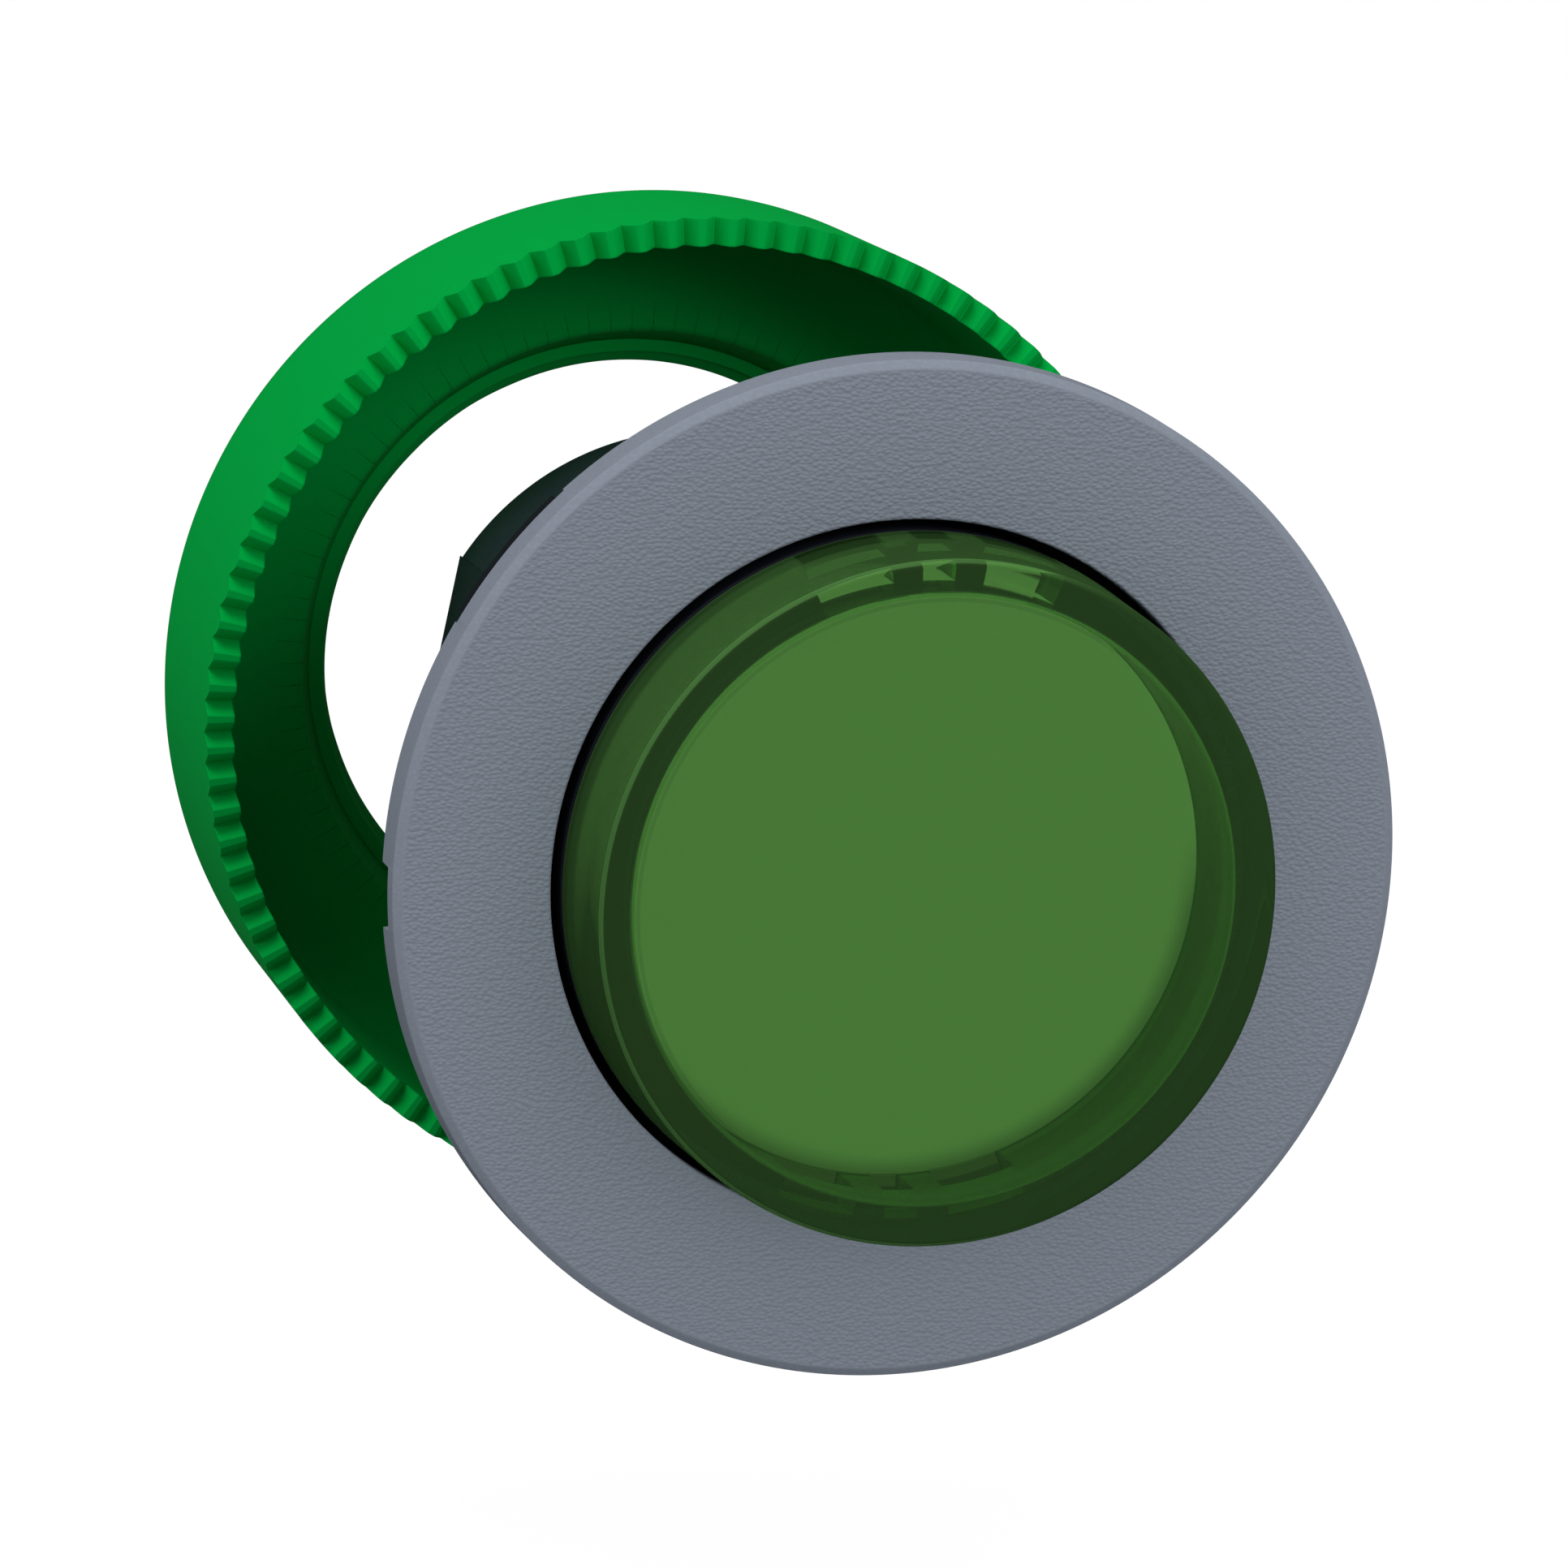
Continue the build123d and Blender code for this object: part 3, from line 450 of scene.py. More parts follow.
def finish(name):
    """The material of that name, made the first time it is asked for."""
    if name not in MADE:
        scene = bpy.context.scene
        colours, bezel = scene.finishes, scene.bezel_sizes
        makers = {
            "bezel_grey": lambda: spark_eroded_polyester(
                colours.bezel, bezel.grain, bezel.grain_depth, in_mm(bezel.diameter) / 2
            ),
            "body_black": lambda: moulded_plastic(
                "Glass-filled black nylon", colours.body, 0.42, 0.12 * MM, 0.006 * MM, 0.12
            ),
            "nut_green": lambda: moulded_green_nylon(
                colours.nut, in_mm(scene.nut_sizes.rim_diameter) / 2 - NUT_WALL
            ),
            "lens_green": lambda: tinted_polycarbonate(colours.lens),
            "white_plastic": lambda: opal_white(colours.diffuser),
            "seal_rubber": lambda: moulded_plastic(
                "Black nitrile rubber", colours.rubber, 0.7, 0.08 * MM, 0.006 * MM, 0.1
            ),
            "spring_steel": lambda: drawn_steel(colours.steel),
        }
        MADE[name] = makers[name]()
    return MADE[name]


def rounded(*corners, steps=6):
    """A closed outline in millimetres. Each corner is (radius, y) or (radius, y, rounding). A
    rounded corner becomes an arc that touches both of its sides: its centre lies on the line that
    halves the corner, at rounding / sin(half the angle) from it."""
    outline = []
    for index, corner in enumerate(corners):
        here = np.array(corner[:2], float)
        if len(corner) == 2:
            outline.append(here[None, :])
            continue
        before = np.array(corners[index - 1][:2]) - here
        after = np.array(corners[(index + 1) % len(corners)][:2]) - here
        before, after = before / np.linalg.norm(before), after / np.linalg.norm(after)
        half = math.acos(np.clip(before @ after, -1, 1)) / 2
        middle = (before + after) / np.linalg.norm(before + after)
        centre = here + middle * corner[2] / math.sin(half)
        first = here + before * corner[2] / math.tan(half) - centre
        last = here + after * corner[2] / math.tan(half) - centre
        begin = math.atan2(first[1], first[0])
        sweep = (math.atan2(last[1], last[0]) - begin + math.pi) % (2 * math.pi) - math.pi
        angles = begin + sweep * np.linspace(0, 1, steps + 1)
        outline.append(centre + corner[2] * np.stack([np.cos(angles), np.sin(angles)], -1))
    return np.concatenate(outline)


def round_columns(*edges):
    """Angles in degrees, evenly spaced, with a close pair of extra ones at each edge."""
    even = np.arange(COLUMNS) * 360 / COLUMNS
    pairs = [np.array([edge - STEP_ANGLE, edge + STEP_ANGLE]) % 360 for edge in edges]
    return np.unique(np.concatenate([even, *pairs]))


def inside(angles, spans):
    """1 for the angles inside one of the spans, in degrees, and 0 for the others."""
    middle = np.array([(start + end) / 2 for start, end in spans])
    half = np.array([(end - start) / 2 for start, end in spans])
    away = np.abs((angles[:, None] - middle[None, :] + 180) % 360 - 180)
    return (away <= half[None, :]).any(axis=1).astype(float)


def closed_grid(points):
    """Corners and four-sided faces of a grid of points that closes on itself both ways."""
    rows, columns = points.shape[:2]
    index = np.arange(rows * columns).reshape(rows, columns)
    down = np.roll(index, -1, axis=0)
    faces = np.stack([index, np.roll(index, -1, axis=1), np.roll(down, -1, axis=1), down], -1)
    return points.reshape(-1, 3), faces.reshape(-1, 4).tolist()


def capped_tube(points):
    """Corners and faces of a grid of points that closes on itself along its first side only, with
    a flat face on each of its two ends."""
    rows, columns = points.shape[:2]
    index = np.arange(rows * columns).reshape(rows, columns)
    down = np.roll(index, -1, axis=0)
    faces = np.stack([index[:, :-1], index[:, 1:], down[:, 1:], down[:, :-1]], -1)
    ends = [index[:, 0].tolist(), index[::-1, -1].tolist()]
    return points.reshape(-1, 3), faces.reshape(-1, 4).tolist() + ends


def at_angle(radius, along, degrees):
    """Points at a radius and an angle round the Y axis: x = radius times the cosine of the angle,
    y = along and z = radius times its sine, from millimetres and degrees to metres."""
    turn = np.radians(degrees)
    return np.stack([radius * np.cos(turn), along + 0 * turn, radius * np.sin(turn)], -1) * MM


def blended(outlines, shares):
    """Grids with the radius and the y of each point at each angle: at angle n, point k is the sum
    over the outlines of its place in each, times that outline's share at angle n."""
    return np.einsum("skp,sn->pkn", np.array(outlines), np.array(shares))


def turned_between(outlines, shares, angles):
    """Several outlines of as many points, blended by their shares and turned about the Y axis."""
    radius, along = blended(outlines, shares)
    return closed_grid(at_angle(radius, along, angles))


def turned(*outlines):
    """A list with each outline turned about the Y axis: point (k, n) is its point k at angle n."""
    return [turned_between([outline], [np.ones(COLUMNS)], round_columns()) for outline in outlines]


def sector(outline, start, end, count=24):
    """A closed outline carried round the Y axis from one angle to another, in degrees, with a flat
    face on each end."""
    return capped_tube(at_angle(outline[:, :1], outline[:, 1:], np.linspace(start, end, count)))


def add_piece(name, shells, finish_name, body, nodes=(), crease=32):
    """One object of closed shells: doubled corners are merged, the faces are turned outwards and
    edges sharper than the crease angle, in degrees, stay sharp."""
    corners, faces, start = [], [], 0
    for points, shell_faces in shells:
        corners.append(points)
        faces.extend([[number + start for number in face] for face in shell_faces])
        start += len(points)
    mesh = bpy.data.meshes.new(name)
    mesh.from_pydata(np.concatenate(corners).tolist(), [], faces)
    work = bmesh.new()
    work.from_mesh(mesh)
    bmesh.ops.remove_doubles(work, verts=work.verts, dist=0.0002 * MM)
    bmesh.ops.recalc_face_normals(work, faces=work.faces)
    work.to_mesh(mesh)
    work.free()
    mesh.shade_smooth()
    mesh.set_sharp_from_angle(angle=math.radians(crease))
    made = bpy.data.objects.new(name, mesh)
    bpy.context.scene.collection.objects.link(made)
    mesh.materials.append(finish(finish_name))
    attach(made, body)
    if nodes:
        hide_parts(*nodes)
    return made


def in_mm(size):
    """A property's length in millimetres."""
    return size / MM


def box_y(node):
    """Front and rear of a solid along the axis, in millimetres."""
    low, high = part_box(node)
    return low[1] / MM, high[1] / MM


class HEAD_OT_bezel(bpy.types.Operator):
    """Grey ring: a grained face, a bevelled and lightly rounded edge, the notch at nine o'clock,
    the shallow recess at the upper left, and the skirt that snaps into the body"""

    bl_idname = "button_head.bezel"
    bl_label = "Bezel"

    def execute(self, context):
        sizes = context.scene.bezel_sizes
        rim = in_mm(sizes.diameter) / 2
        bore = in_mm(sizes.bore) / 2
        rear = GASKET_FRONT
        face = rear - in_mm(sizes.thickness)
        notch_span, notch_in, notch_depth = (179.5, 186.8), rim - 1.1, 0.88
        recess_span, recess_in, recess_depth = (133.3, 151.8), rim - 0.9, 0.2

        def outline(notch, recess):
            """The ring's outline, with its rear edge lifted by a notch or a recess."""
            return rounded(
                (bore, face, 0.12),
                (rim - 0.3, face, 0.18),
                (rim, face + 0.19, EDGE),
                (rim + 0.03, rear - notch - recess),
                (recess_in, rear - notch - recess),
                (recess_in - 0.001, rear - notch),
                (notch_in, rear - notch),
                (notch_in - 0.001, rear),
                (16.6, rear),
                (16.6, -1.15),
                (13.6, -1.15),
                (13.6, 3.0),
                (13.82, 3.2),
                (13.82, 3.4),
                (13.6, 3.6),
                (13.6, 5.6),
                (13.05, 5.6),
                (13.05, -1.15),
                (bore, -1.15),
            )

        angles = round_columns(*notch_span, *recess_span)
        notch, recess = inside(angles, [notch_span]), inside(angles, [recess_span])
        outlines = [outline(0, 0), outline(notch_depth, 0), outline(0, recess_depth)]
        shell = turned_between(outlines, [1 - notch - recess, notch, recess], angles)
        ring = add_piece("bezel", [shell], "bezel_grey", "head", ["bezel_ring"])
        ring.visible_glossy = False
        return {"FINISHED"}


class HEAD_OT_gasket(bpy.types.Operator):
    """Flat rubber gasket behind the bezel, with the ear that shows in the bezel's recess"""

    bl_idname = "button_head.gasket"
    bl_label = "Panel gasket"

    def execute(self, context):
        ear_span, bore, front = (134.5, 150.6), 15.55, GASKET_FRONT
        angles = round_columns(*ear_span)
        ear = inside(angles, [ear_span])
        outlines = [
            rounded((bore, front), (edge, front), (edge, 0.0, 0.12), (bore, 0.0, 0.12))
            for edge in (17.55, 18.0)
        ]
        shell = turned_between(outlines, [1 - ear, ear], angles)
        add_piece("gasket", [shell], "seal_rubber", "head", ["panel_gasket"])
        return {"FINISHED"}


class HEAD_OT_lens(bpy.types.Operator):
    """Clear green lens: a flat-fronted cup with a rounded front edge, a shoulder, and a narrower
    skirt whose wall is cut by windows at the top and the bottom"""

    bl_idname = "button_head.lens"
    bl_label = "Lens"

    def execute(self, context):
        sizes = context.scene.lens_sizes
        front_radius = in_mm(sizes.front_diameter) / 2
        base_radius = in_mm(sizes.base_diameter) / 2
        cavity = front_radius - in_mm(sizes.side_wall)
        skirt_wall, window_height = 0.79, 1.5
        skirt = cavity + skirt_wall
        front, end = box_y("lens_cap")
        ceiling = front + in_mm(sizes.front_wall)
        window_top = LENS_BASE - window_height

        def outline(*skirt_rows):
            """The lens outline, with the rows of its skirt given."""
            return rounded(
                (0, front),
                (front_radius, front, 0.25),
                (base_radius, LENS_BASE, 0.06),
                *skirt_rows,
                (cavity, window_top),
                (cavity, ceiling, 0.2),
                (0, ceiling),
            )

        whole = outline((skirt, LENS_BASE), (skirt, end), (cavity, end), (cavity, window_top + 0.001))
        edge = (skirt + 0.05, LENS_BASE)
        open_wall = outline(edge, edge, edge, (skirt + 0.05, window_top + 0.001))
        spans = KEY_SPANS + ARC_SPANS
        angles = round_columns(*np.ravel(spans))
        window = inside(angles, spans)
        shell = turned_between([whole, open_wall], [1 - window, window], angles)
        add_piece("lens", [shell], "lens_green", "button", ["lens_cap"], crease=40)
        return {"FINISHED"}


class HEAD_OT_diffuser(bpy.types.Operator):
    """White disc under the lens with a softly rounded edge, the legend plate in its recess, a low
    skirt behind it, and tabs that reach into the windows of the lens"""

    bl_idname = "button_head.diffuser"
    bl_label = "Diffuser"

    def execute(self, context):
        disc = rounded(
            (0, -1.6), (9.725, -1.6), (9.725, -2.0), (10.74, -2.0, 0.1), (10.74, -0.9, 0.1), (0, -0.9)
        )
        legend = rounded((0, -2.0), (9.725, -2.0), (9.725, -1.6), (0, -1.6))
        skirt = rounded((9.3, -1.2), (10.3, -1.2), (10.3, -0.5, 0.1), (9.3, -0.5, 0.1))
        tab = rounded((10.2, -1.9), (11.5, -1.9, 0.12), (11.5, -0.9, 0.12), (10.2, -0.9))
        gap = 0.5
        tabs = [sector(tab, start + gap, end - gap) for start, end in KEY_SPANS + ARC_SPANS]
        shells = turned(disc, skirt) + tabs
        add_piece("diffuser_disc", shells, "white_plastic", "button", ["diffuser"])
        add_piece("legend_disc", turned(legend), "white_plastic", "button", ["legend_plate"])
        return {"FINISHED"}


class HEAD_OT_carrier(bpy.types.Operator):
    """Black ring that holds the skirt of the lens, and the flat rubber seal on top of it"""

    bl_idname = "button_head.carrier"
    bl_label = "Lens carrier"

    def execute(self, context):
        rim = [(11.65, -2.1), (12.1, -2.1, 0.08), (12.1, 1.3, 0.1)]
        ring = rounded(*rim, (10.35, 1.3), (10.35, 0.9), (11.65, 0.9))
        base = LENS_BASE
        seal = rounded((11.6, base), (12.1, base, 0.06), (12.1, -2.1, 0.06), (11.6, -2.1))
        add_piece("carrier_ring", turned(ring), "body_black", "button", ["lens_carrier"])
        add_piece("lens_seal_ring", turned(seal), "seal_rubber", "button", ["lens_seal"])
        return {"FINISHED"}


def thread_shape(along, degrees, pitch, start, end):
    """Height of a right-hand trapezoid thread from 0 to 1. Its crest starts at the top, at the
    start, and moves back by one pitch a turn. With t the distance to the nearest crest in
    pitches, the height falls evenly from 1 at t = 0.1 to 0 at t = 0.4. It fades over the first
    and the last tenth of a turn."""
    turns = (along - start) / pitch + (degrees - 90) / 360
    away = turns - np.round(turns)
    run = (along - start) / pitch - away
    fade = np.clip(run / 0.1, 0, 1) * np.clip(((end - start) / pitch - run) / 0.1, 0, 1)
    return np.clip((0.4 - np.abs(away)) / 0.3, 0, 1) * fade


class HEAD_OT_body(bpy.types.Operator):
    """Black body: a flange, the cup that fills the panel hole, a neck with a right-hand thread,
    and the rear barrel with its keying flat, where the radius is the height of the flat over the
    axis divided by the cosine of the angle from its middle"""

    bl_idname = "button_head.body"
    bl_label = "Body"

    def execute(self, context):
        sizes = context.scene.body_sizes
        barrel = in_mm(sizes.barrel_diameter) / 2
        crest = in_mm(sizes.thread_diameter) / 2
        pitch = in_mm(sizes.thread_pitch)
        root, cup_rear, neck_rear, rear = 10.85, 9.0, 18.4, 27.82
        flat_middle, flat_half, flat_level = 170.6, 22.66, 9.82
        before = rounded(
            (13.7, -1.15),
            (13.975, -1.15),
            (13.975, -0.35),
            (14.775, -0.35),
            (14.775, -1.15),
            (16.55, -1.15, EDGE),
            (16.55, -0.55),
            (15.5, -0.55),
            (15.5, -0.1),
            (15.05, -0.1),
            (15.05, cup_rear - 0.5, 0.12),
            (14.55, cup_rear, 0.12),
            (root, cup_rear),
        )
        along = np.linspace(cup_rear + 0.05, neck_rear - 0.05, 112)
        thread = np.stack([root + 0 * along, along], -1)
        cone = [(root, neck_rear), (barrel, 19.0)]
        post = rounded((barrel, 19.001), (barrel, rear, 0.22), (9.35, rear, 0.1), (9.35, 26.47))[:-1]
        inner = [(9.35, 26.47), (9.5, 26.47), (9.5, 25.22), (9.2, 25.22), (9.2, 19.5)]
        inner += [(8.3, 19.5), (8.3, 18.0), (10.0, 18.0), (10.0, 7.4), (13.7, 7.4)]
        outline = np.concatenate([before, thread, cone, post, inner])
        angles = round_columns(flat_middle - flat_half, flat_middle + flat_half)
        radius = outline[:, :1] + 0 * angles
        rows = slice(len(before), len(before) + len(thread))
        shape = thread_shape(along[:, None], angles, pitch, THREAD_START, THREAD_END)
        radius[rows] += (crest - root) * shape
        away = np.radians((angles - flat_middle + 180) % 360 - 180)
        on_flat = np.abs(away) < math.radians(flat_half)
        sunk = np.where(on_flat, flat_level / np.cos(away) - barrel, 0)
        first = rows.stop + len(cone)
        radius[first : first + len(post)] += (post[:, :1] > flat_level) * sunk
        points = at_angle(radius, outline[:, 1:], angles)
        add_piece("body_shell", [closed_grid(points)], "body_black", "head", ["head_body"])
        return {"FINISHED"}


class HEAD_OT_plunger(bpy.types.Operator):
    """Sliding tube with its collar, spring shoulder and clip groove, and the two legs that push
    the contacts"""

    bl_idname = "button_head.plunger"
    bl_label = "Plunger"

    def execute(self, context):
        tube = rounded(
            (7.0, 2.1),
            (9.3, 2.1),
            (9.3, -0.5),
            (10.3, -0.5, EDGE),
            (10.3, 2.1),
            (11.4, 2.1, EDGE),
            (11.4, 3.1, EDGE),
            (8.0, 3.1),
            (8.0, 19.8),
            (7.6, 19.8),
            (7.6, 20.5),
            (8.0, 20.5),
            (8.0, 20.8, 0.1),
            (7.0, 20.8, 0.1),
        )
        leg = rounded((7.0, 20.4), (8.0, 20.4), (8.0, 26.42, 0.2), (7.0, 26.42, 0.2))
        half_leg = 24
        shells = turned(tube) + [sector(leg, turn - half_leg, turn + half_leg) for turn in (0, 180)]
        add_piece("plunger_tube", shells, "body_black", "button", ["plunger"])
        return {"FINISHED"}


class HEAD_OT_reflector(bpy.types.Operator):
    """White tube inside the plunger that brings the lamp's light forwards"""

    bl_idname = "button_head.reflector"
    bl_label = "Reflector sleeve"

    def execute(self, context):
        tube = rounded((6.2, -0.5, 0.1), (6.9, -0.5, 0.1), (6.9, 20.5, 0.1), (6.2, 20.5, 0.1))
        add_piece("reflector_tube", turned(tube), "white_plastic", "button", ["reflector_sleeve"])
        return {"FINISHED"}


class HEAD_OT_guide(bpy.types.Operator):
    """Plate in the mouth of the barrel, with the raised collar of the lamp hole and two curved
    windows for the legs"""

    bl_idname = "button_head.guide"
    bl_label = "Rear guide"

    def execute(self, context):
        inner = rounded((5.8, 25.22), (6.7, 25.22), (6.7, 27.12, 0.12), (5.8, 27.12, 0.12))
        outer = rounded((8.3, 25.22), (9.45, 25.22), (9.45, 26.42, 0.1), (8.3, 26.42, 0.1))
        web = rounded((6.6, 25.25), (8.4, 25.25), (8.4, 26.4), (6.6, 26.4))
        start, end = 26.15, 153.85
        webs = [sector(web, turn + start, turn + end, 60) for turn in (0, 180)]
        add_piece("guide_plate", turned(inner, outer) + webs, "body_black", "head", ["rear_guide"])
        return {"FINISHED"}


class HEAD_OT_spring(bpy.types.Operator):
    """Return spring: a round wire carried along a helix whose end turns are closed and ground. At
    a share t of the turns, it has risen by t less a sixteenth of the sine of 4 pi t"""

    bl_idname = "button_head.spring"
    bl_label = "Return spring"

    def execute(self, context):
        sizes = context.scene.body_sizes
        wire = in_mm(sizes.wire) / 2
        front, rear = box_y("return_spring")
        bore, clearance, ground = 10.0, 0.25, wire * 0.4
        turn_columns, wire_points = 48, 20
        share = np.linspace(0, 1, int(sizes.turns * turn_columns))
        turn = share * sizes.turns * 360
        rise = share - np.sin(4 * np.pi * share) / 16
        centre = front + ground + (rear - front - 2 * ground) * rise
        section = np.linspace(0, 2 * np.pi, wire_points, endpoint=False)[:, None]
        radius = bore - clearance - wire + wire * np.cos(section)
        along = np.clip(centre + wire * np.sin(section), front, rear)
        coil = capped_tube(at_angle(radius, along, turn))
        spring = add_piece("spring_coil", [coil], "spring_steel", "button", ["return_spring"])
        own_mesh(spring)
        return {"FINISHED"}


class HEAD_OT_boot(bpy.types.Operator):
    """Rubber boot: an inner bead on the plunger, an outer bead on the floor of the cup, and a thin
    folded wall between them"""

    bl_idname = "button_head.boot"
    bl_label = "Sealing boot"

    def execute(self, context):
        inner = rounded((10.35, 1.3, 0.1), (11.4, 1.3, 0.1), (11.4, 2.1, 0.1), (10.35, 2.1, 0.1))
        outer = rounded((12.4, 6.6, 0.1), (13.6, 6.6, 0.1), (13.6, 7.4, 0.1), (12.4, 7.4, 0.1))
        wall = rounded(
            (11.0, 1.55),
            (12.95, 1.55, 0.5),
            (12.25, 3.95, 0.5),
            (12.95, 5.4, 0.5),
            (12.95, 6.9),
            (12.55, 6.9),
            (12.55, 5.45, 0.5),
            (11.85, 3.95, 0.5),
            (12.45, 1.95, 0.3),
            (11.0, 1.95),
        )
        shells = turned(inner, outer, wall)
        boot = add_piece("boot_rubber", shells, "seal_rubber", "head", ["sealing_boot"])
        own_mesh(boot)
        return {"FINISHED"}


class HEAD_OT_inner_rings(bpy.types.Operator):
    """Finishes for the small rings inside the body, whose solids are shown as they are"""

    bl_idname = "button_head.inner_rings"
    bl_label = "Inner rings"

    def execute(self, context):
        nodes = "bezel_seal", "boot_clamp_ring", "plunger_clip"
        for node, finish_name in zip(nodes, ("seal_rubber", "body_black", "spring_steel")):
            for material_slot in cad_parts[node].material_slots:
                material_slot.material = finish(finish_name)
        return {"FINISHED"}


class HEAD_OT_nut(bpy.types.Operator):
    """Bright green cup of the fixing nut: a drafted and rounded cup with notches across its rim.
    In a notch the rim falls by the notch's depth times 1 less the distance from its middle, which
    is a share of half its width"""

    bl_idname = "button_head.nut"
    bl_label = "Nut cup"

    def execute(self, context):
        sizes = context.scene.nut_sizes
        rim = in_mm(sizes.rim_diameter) / 2
        teeth, depth = sizes.teeth, in_mm(sizes.tooth_depth)
        inner, front, floor, rear = rim - NUT_WALL, 25.62, 36.12, 38.02
        below = front + depth + 0.15
        wall = rounded(
            (rim - 0.01, below),
            (18.55, rear, 3.6),
            (12.4, rear),
            (12.4, 37.62),
            (13.0, floor, 0.35),
            (inner - 0.55, floor, 3.2),
            (inner - 0.01, below),
            steps=12,
        )
        across = np.linspace(0, 1, 6)
        tips = np.stack([inner + (rim - inner) * across, front + 0 * across], -1)
        outline = np.concatenate([tips, wall])

        # Columns stand at these shares of half a notch from its middle, and of the land after it,
        # so that a notch is equally wide at each radius. Its edges and its bottom are rounded.
        notch = np.array([-1.0, -0.92, -0.5, -0.06, 0.06, 0.5, 0.92])
        land = np.array([0.0, 0.12, 0.5, 0.88])
        pitch, first_land, half_notch = 360 / teeth, 92.6, 0.435
        centre = (first_land + (np.arange(teeth) + 0.5) * pitch)[:, None]
        reach = np.degrees(half_notch / outline[:, 0])[:, None, None]
        columns = [centre + notch * reach, centre + reach + land * (pitch - 2 * reach)]
        angles = np.concatenate(columns, axis=2).reshape(len(outline), -1)
        fall = np.concatenate([1 - np.abs(notch), 0 * land])
        fall[[0, len(notch)]] = 0.04
        fall[[3, 4]] = 0.96
        along = outline[:, 1:] + 0 * angles
        along[: len(tips)] += depth * np.tile(fall, teeth)
        points = at_angle(outline[:, :1], along, angles)
        add_piece("nut_cup_shell", [closed_grid(points)], "nut_green", "nut", ["fixing_nut"], crease=26)
        return {"FINISHED"}


class HEAD_OT_nut_hub(bpy.types.Operator):
    """Hub round the nut's hole: a right-hand inner thread, a rounded rear edge and four slots"""

    bl_idname = "button_head.nut_hub"
    bl_label = "Nut hub"

    def execute(self, context):
        hole = in_mm(context.scene.nut_sizes.hole) / 2
        pitch = in_mm(context.scene.body_sizes.thread_pitch)
        root, front, seat, rear = hole + 0.44, 37.62, 37.9, 41.02
        slot_depth, slot_width, slot_radius = 1.6, 2.4, 13.4
        along = np.linspace(rear - 0.15, front + 0.15, 34)
        height = np.clip((rear - along) / 0.5, 0, 1) * np.clip((along - front) / 0.5, 0, 1)
        thread = np.stack([root + 0 * along, along], -1)

        def outline(slot):
            """The hub's outline, with its rear face lowered by a slot."""
            outer = rounded(
                (root, front),
                (12.6, front),
                (12.6, seat),
                (14.5, seat),
                (14.5, rear - slot, 0.25),
                (12.35, rear - slot),
                (12.34, rear),
                (root, rear, 0.05),
            )
            return np.concatenate([outer, thread])

        half_slot = math.degrees(math.asin(slot_width / 2 / slot_radius))
        spans = [(turn - half_slot, turn + half_slot) for turn in (45, 135, 225, 315)]
        angles = round_columns(*np.ravel(spans))
        slotted = inside(angles, spans)
        radius, y = blended([outline(0), outline(slot_depth)], [1 - slotted, slotted])
        shape = thread_shape(along[:, None] - NUT_TRAVEL, angles + 180, pitch, THREAD_START, math.inf)
        radius[-len(thread) :] -= (root - hole) * height[:, None] * shape
        shell = closed_grid(at_angle(radius, y, angles))
        add_piece("nut_hub_ring", [shell], "nut_green", "nut")
        return {"FINISHED"}


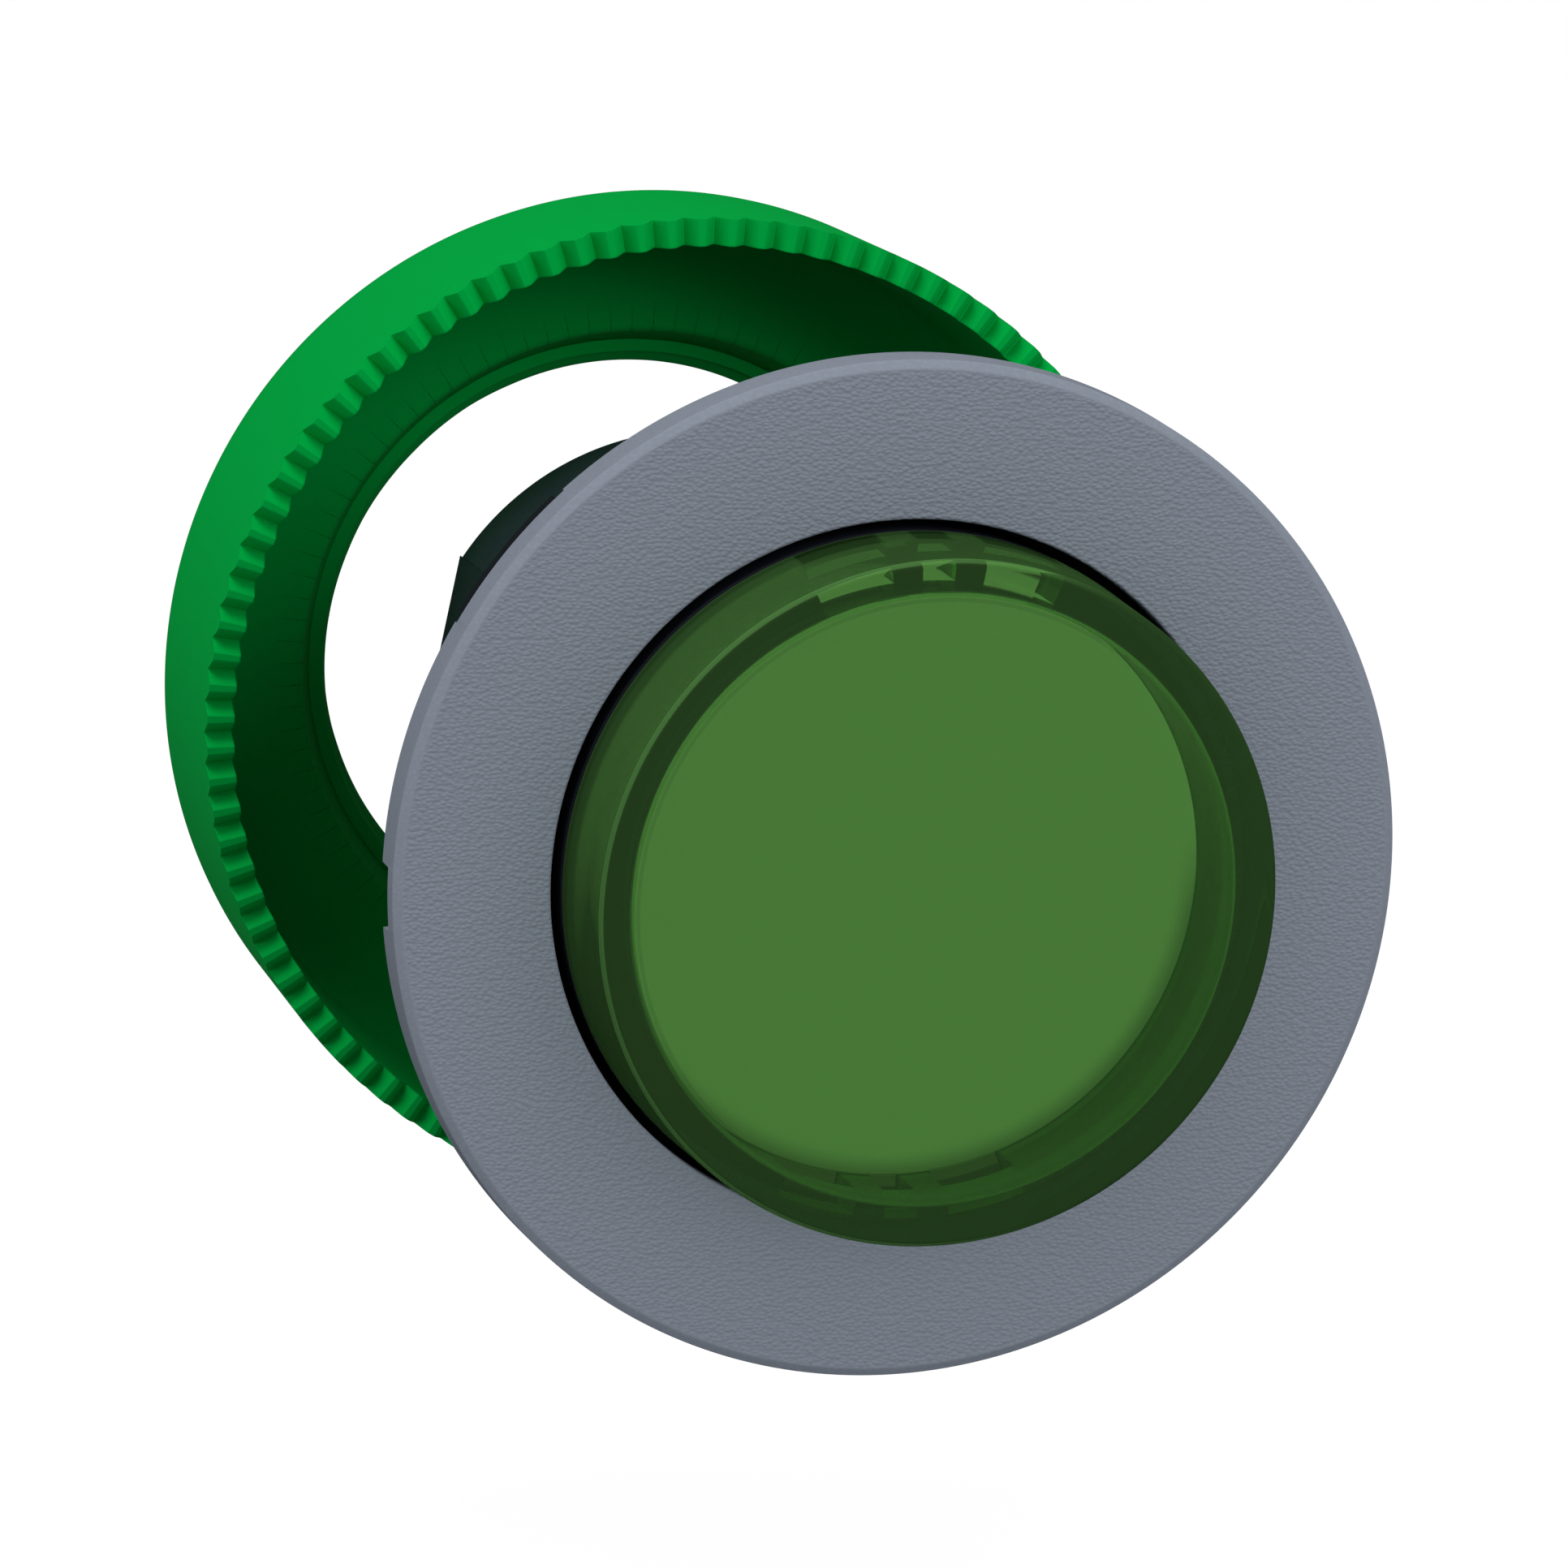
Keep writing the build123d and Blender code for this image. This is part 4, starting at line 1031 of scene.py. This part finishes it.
class HEAD_OT_stage(bpy.types.Operator):
    """Pale floor and backdrop, soft light from above, the front right and the left, the camera"""

    bl_idname = "button_head.stage"
    bl_label = "Stage"

    def execute(self, context):
        settings = context.scene.stage_settings
        self.add_backdrop(settings)
        self.add_lights(context, settings)
        self.add_camera(context, settings)
        context.scene.view_settings.view_transform = "Standard"
        return {"FINISHED"}

    def add_backdrop(self, settings):
        """A floor that sweeps up into a wall: a profile of two straight runs and an arc between
        them, carried sideways. To the camera it mostly glows, and in gloss it is nearly dark."""
        tree, material, output = new_material("Pale studio paper")
        ray = add_node(tree, "ShaderNodeLightPath")
        seen, glossy = ray.outputs["Is Camera Ray"], ray.outputs["Is Glossy Ray"]
        level = maths(tree, "MULTIPLY_ADD", seen, PAPER_GLOW, product(tree, glossy, settings.reflected))
        share = maths(tree, "MULTIPLY_ADD", seen, GLOW_SHARE, glossy)
        shades = {"Factor": seen, 6: linear(PAPER_LIT), 7: linear(PAPER_SEEN)}
        tone = add_node(tree, "ShaderNodeMix", shades, data_type="RGBA")
        paper = add_node(tree, "ShaderNodeBsdfDiffuse", {"Color": tone.outputs[2]})
        glow = add_node(tree, "ShaderNodeEmission", {"Strength": level})
        mixed = mix_of(tree, share, paper.outputs["BSDF"], glow.outputs["Emission"])
        tree.links.new(mixed, output.inputs["Surface"])
        turn = np.linspace(0, math.pi / 2, 24)
        bend, floor, depth, width, wall = 0.6, -settings.floor_drop, 2.0, 3.0, 2.5
        y = np.concatenate([[-depth], depth + bend * np.sin(turn), [depth + bend]])
        z = np.concatenate([[floor], floor + bend * (1 - np.cos(turn)), [floor + wall]])
        points = np.concatenate([np.stack([0 * y + side, y, z], -1) for side in (-width, width)])
        count = len(y)
        faces = [(i, i + count, i + count + 1, i + 1) for i in range(count - 1)]
        mesh = bpy.data.meshes.new("paper_sweep")
        mesh.from_pydata(points.tolist(), [], faces)
        mesh.shade_smooth()
        mesh.materials.append(material)
        sweep = bpy.data.objects.new("paper_sweep", mesh)
        bpy.context.scene.collection.objects.link(sweep)

    def add_lights(self, context, settings):
        """An even sky, and three square lamps whose power is worked out from how white they light
        a white surface that faces them: pi squared times the distance squared is full white. The
        lamps show in no gloss and not through the lens."""
        world = bpy.data.worlds.new("Studio sky")
        world.use_nodes = True
        tree = world.node_tree
        tree.nodes.clear()
        ray = add_node(tree, "ShaderNodeLightPath").outputs
        levels = {"Factor": ray["Is Glossy Ray"], "A": settings.sky, "B": settings.reflected}
        level = add_node(tree, "ShaderNodeMix", levels).outputs["Result"]
        levels = {"Factor": ray["Is Camera Ray"], "A": level, "B": 1.0}
        level = add_node(tree, "ShaderNodeMix", levels).outputs["Result"]
        sky = add_node(tree, "ShaderNodeBackground", {"Strength": level})
        output = tree.nodes.new("ShaderNodeOutputWorld")
        tree.links.new(sky.outputs["Background"], output.inputs["Surface"])
        context.scene.world = world
        for name, place in LAMPS.items():
            lamp = bpy.data.lights.new(f"{name}_lamp", "AREA")
            lamp.size = LAMP_SIZE
            ray = AIM - Vector(place)
            lamp.energy = getattr(settings, name) * math.pi**2 * ray.length**2
            made = bpy.data.objects.new(f"{name}_lamp", lamp)
            made.location = place
            made.rotation_euler = ray.to_track_quat("-Z", "Y").to_euler()
            made.visible_glossy = False
            made.visible_transmission = False
            context.scene.collection.objects.link(made)

    def add_camera(self, context, settings):
        """The camera stands where the circles of the bezel, the lens and the nut in the photograph
        put it: its side, up and back directions are the columns of its turn."""
        camera = bpy.data.cameras.new("studio_camera")
        camera.sensor_width = 36.0
        camera.lens = settings.focal
        camera.clip_start, camera.clip_end = 0.01, 20.0
        made = bpy.data.objects.new("studio_camera", camera)
        forward = Vector(CAMERA_FORWARD).normalized()
        up = Vector(CAMERA_UP)
        up = (up - up.dot(forward) * forward).normalized()
        side = forward.cross(up)
        turn = Matrix((side, up, -forward)).transposed()
        made.matrix_world = Matrix.Translation(Vector(CAMERA_PLACE) * MM) @ turn.to_4x4()
        context.scene.collection.objects.link(made)
        context.scene.camera = made


OPERATORS = (
    HEAD_OT_bezel,
    HEAD_OT_gasket,
    HEAD_OT_lens,
    HEAD_OT_diffuser,
    HEAD_OT_carrier,
    HEAD_OT_body,
    HEAD_OT_plunger,
    HEAD_OT_reflector,
    HEAD_OT_guide,
    HEAD_OT_spring,
    HEAD_OT_boot,
    HEAD_OT_inner_rings,
    HEAD_OT_nut,
    HEAD_OT_nut_hub,
    HEAD_OT_stage,
)


class HEAD_PT_panel(bpy.types.Panel):
    """Lists the pieces of the push-button head and their sizes"""

    bl_idname = "HEAD_PT_panel"
    bl_label = "Button head"
    bl_space_type = "VIEW_3D"
    bl_region_type = "UI"
    bl_category = "Button head"

    def draw(self, context):
        for operator in OPERATORS:
            self.layout.operator(operator.bl_idname)
        for group in GROUPS:
            box = self.layout.box()
            box.label(text=group.replace("_", " ").capitalize())
            for name in GROUPS[group].__annotations__:
                box.prop(getattr(context.scene, group), name)


def register():
    for name, group in GROUPS.items():
        bpy.utils.register_class(group)
        setattr(bpy.types.Scene, name, PointerProperty(type=group))
    for operator in OPERATORS:
        bpy.utils.register_class(operator)
    bpy.utils.register_class(HEAD_PT_panel)


def unregister():
    bpy.utils.unregister_class(HEAD_PT_panel)
    for operator in reversed(OPERATORS):
        bpy.utils.unregister_class(operator)
    for name, group in reversed(GROUPS.items()):
        delattr(bpy.types.Scene, name)
        bpy.utils.unregister_class(group)


def main():
    register()
    for operator in OPERATORS:
        family, name = operator.bl_idname.split(".")
        getattr(getattr(bpy.ops, family), name)()


if __name__ == "__main__":
    main()
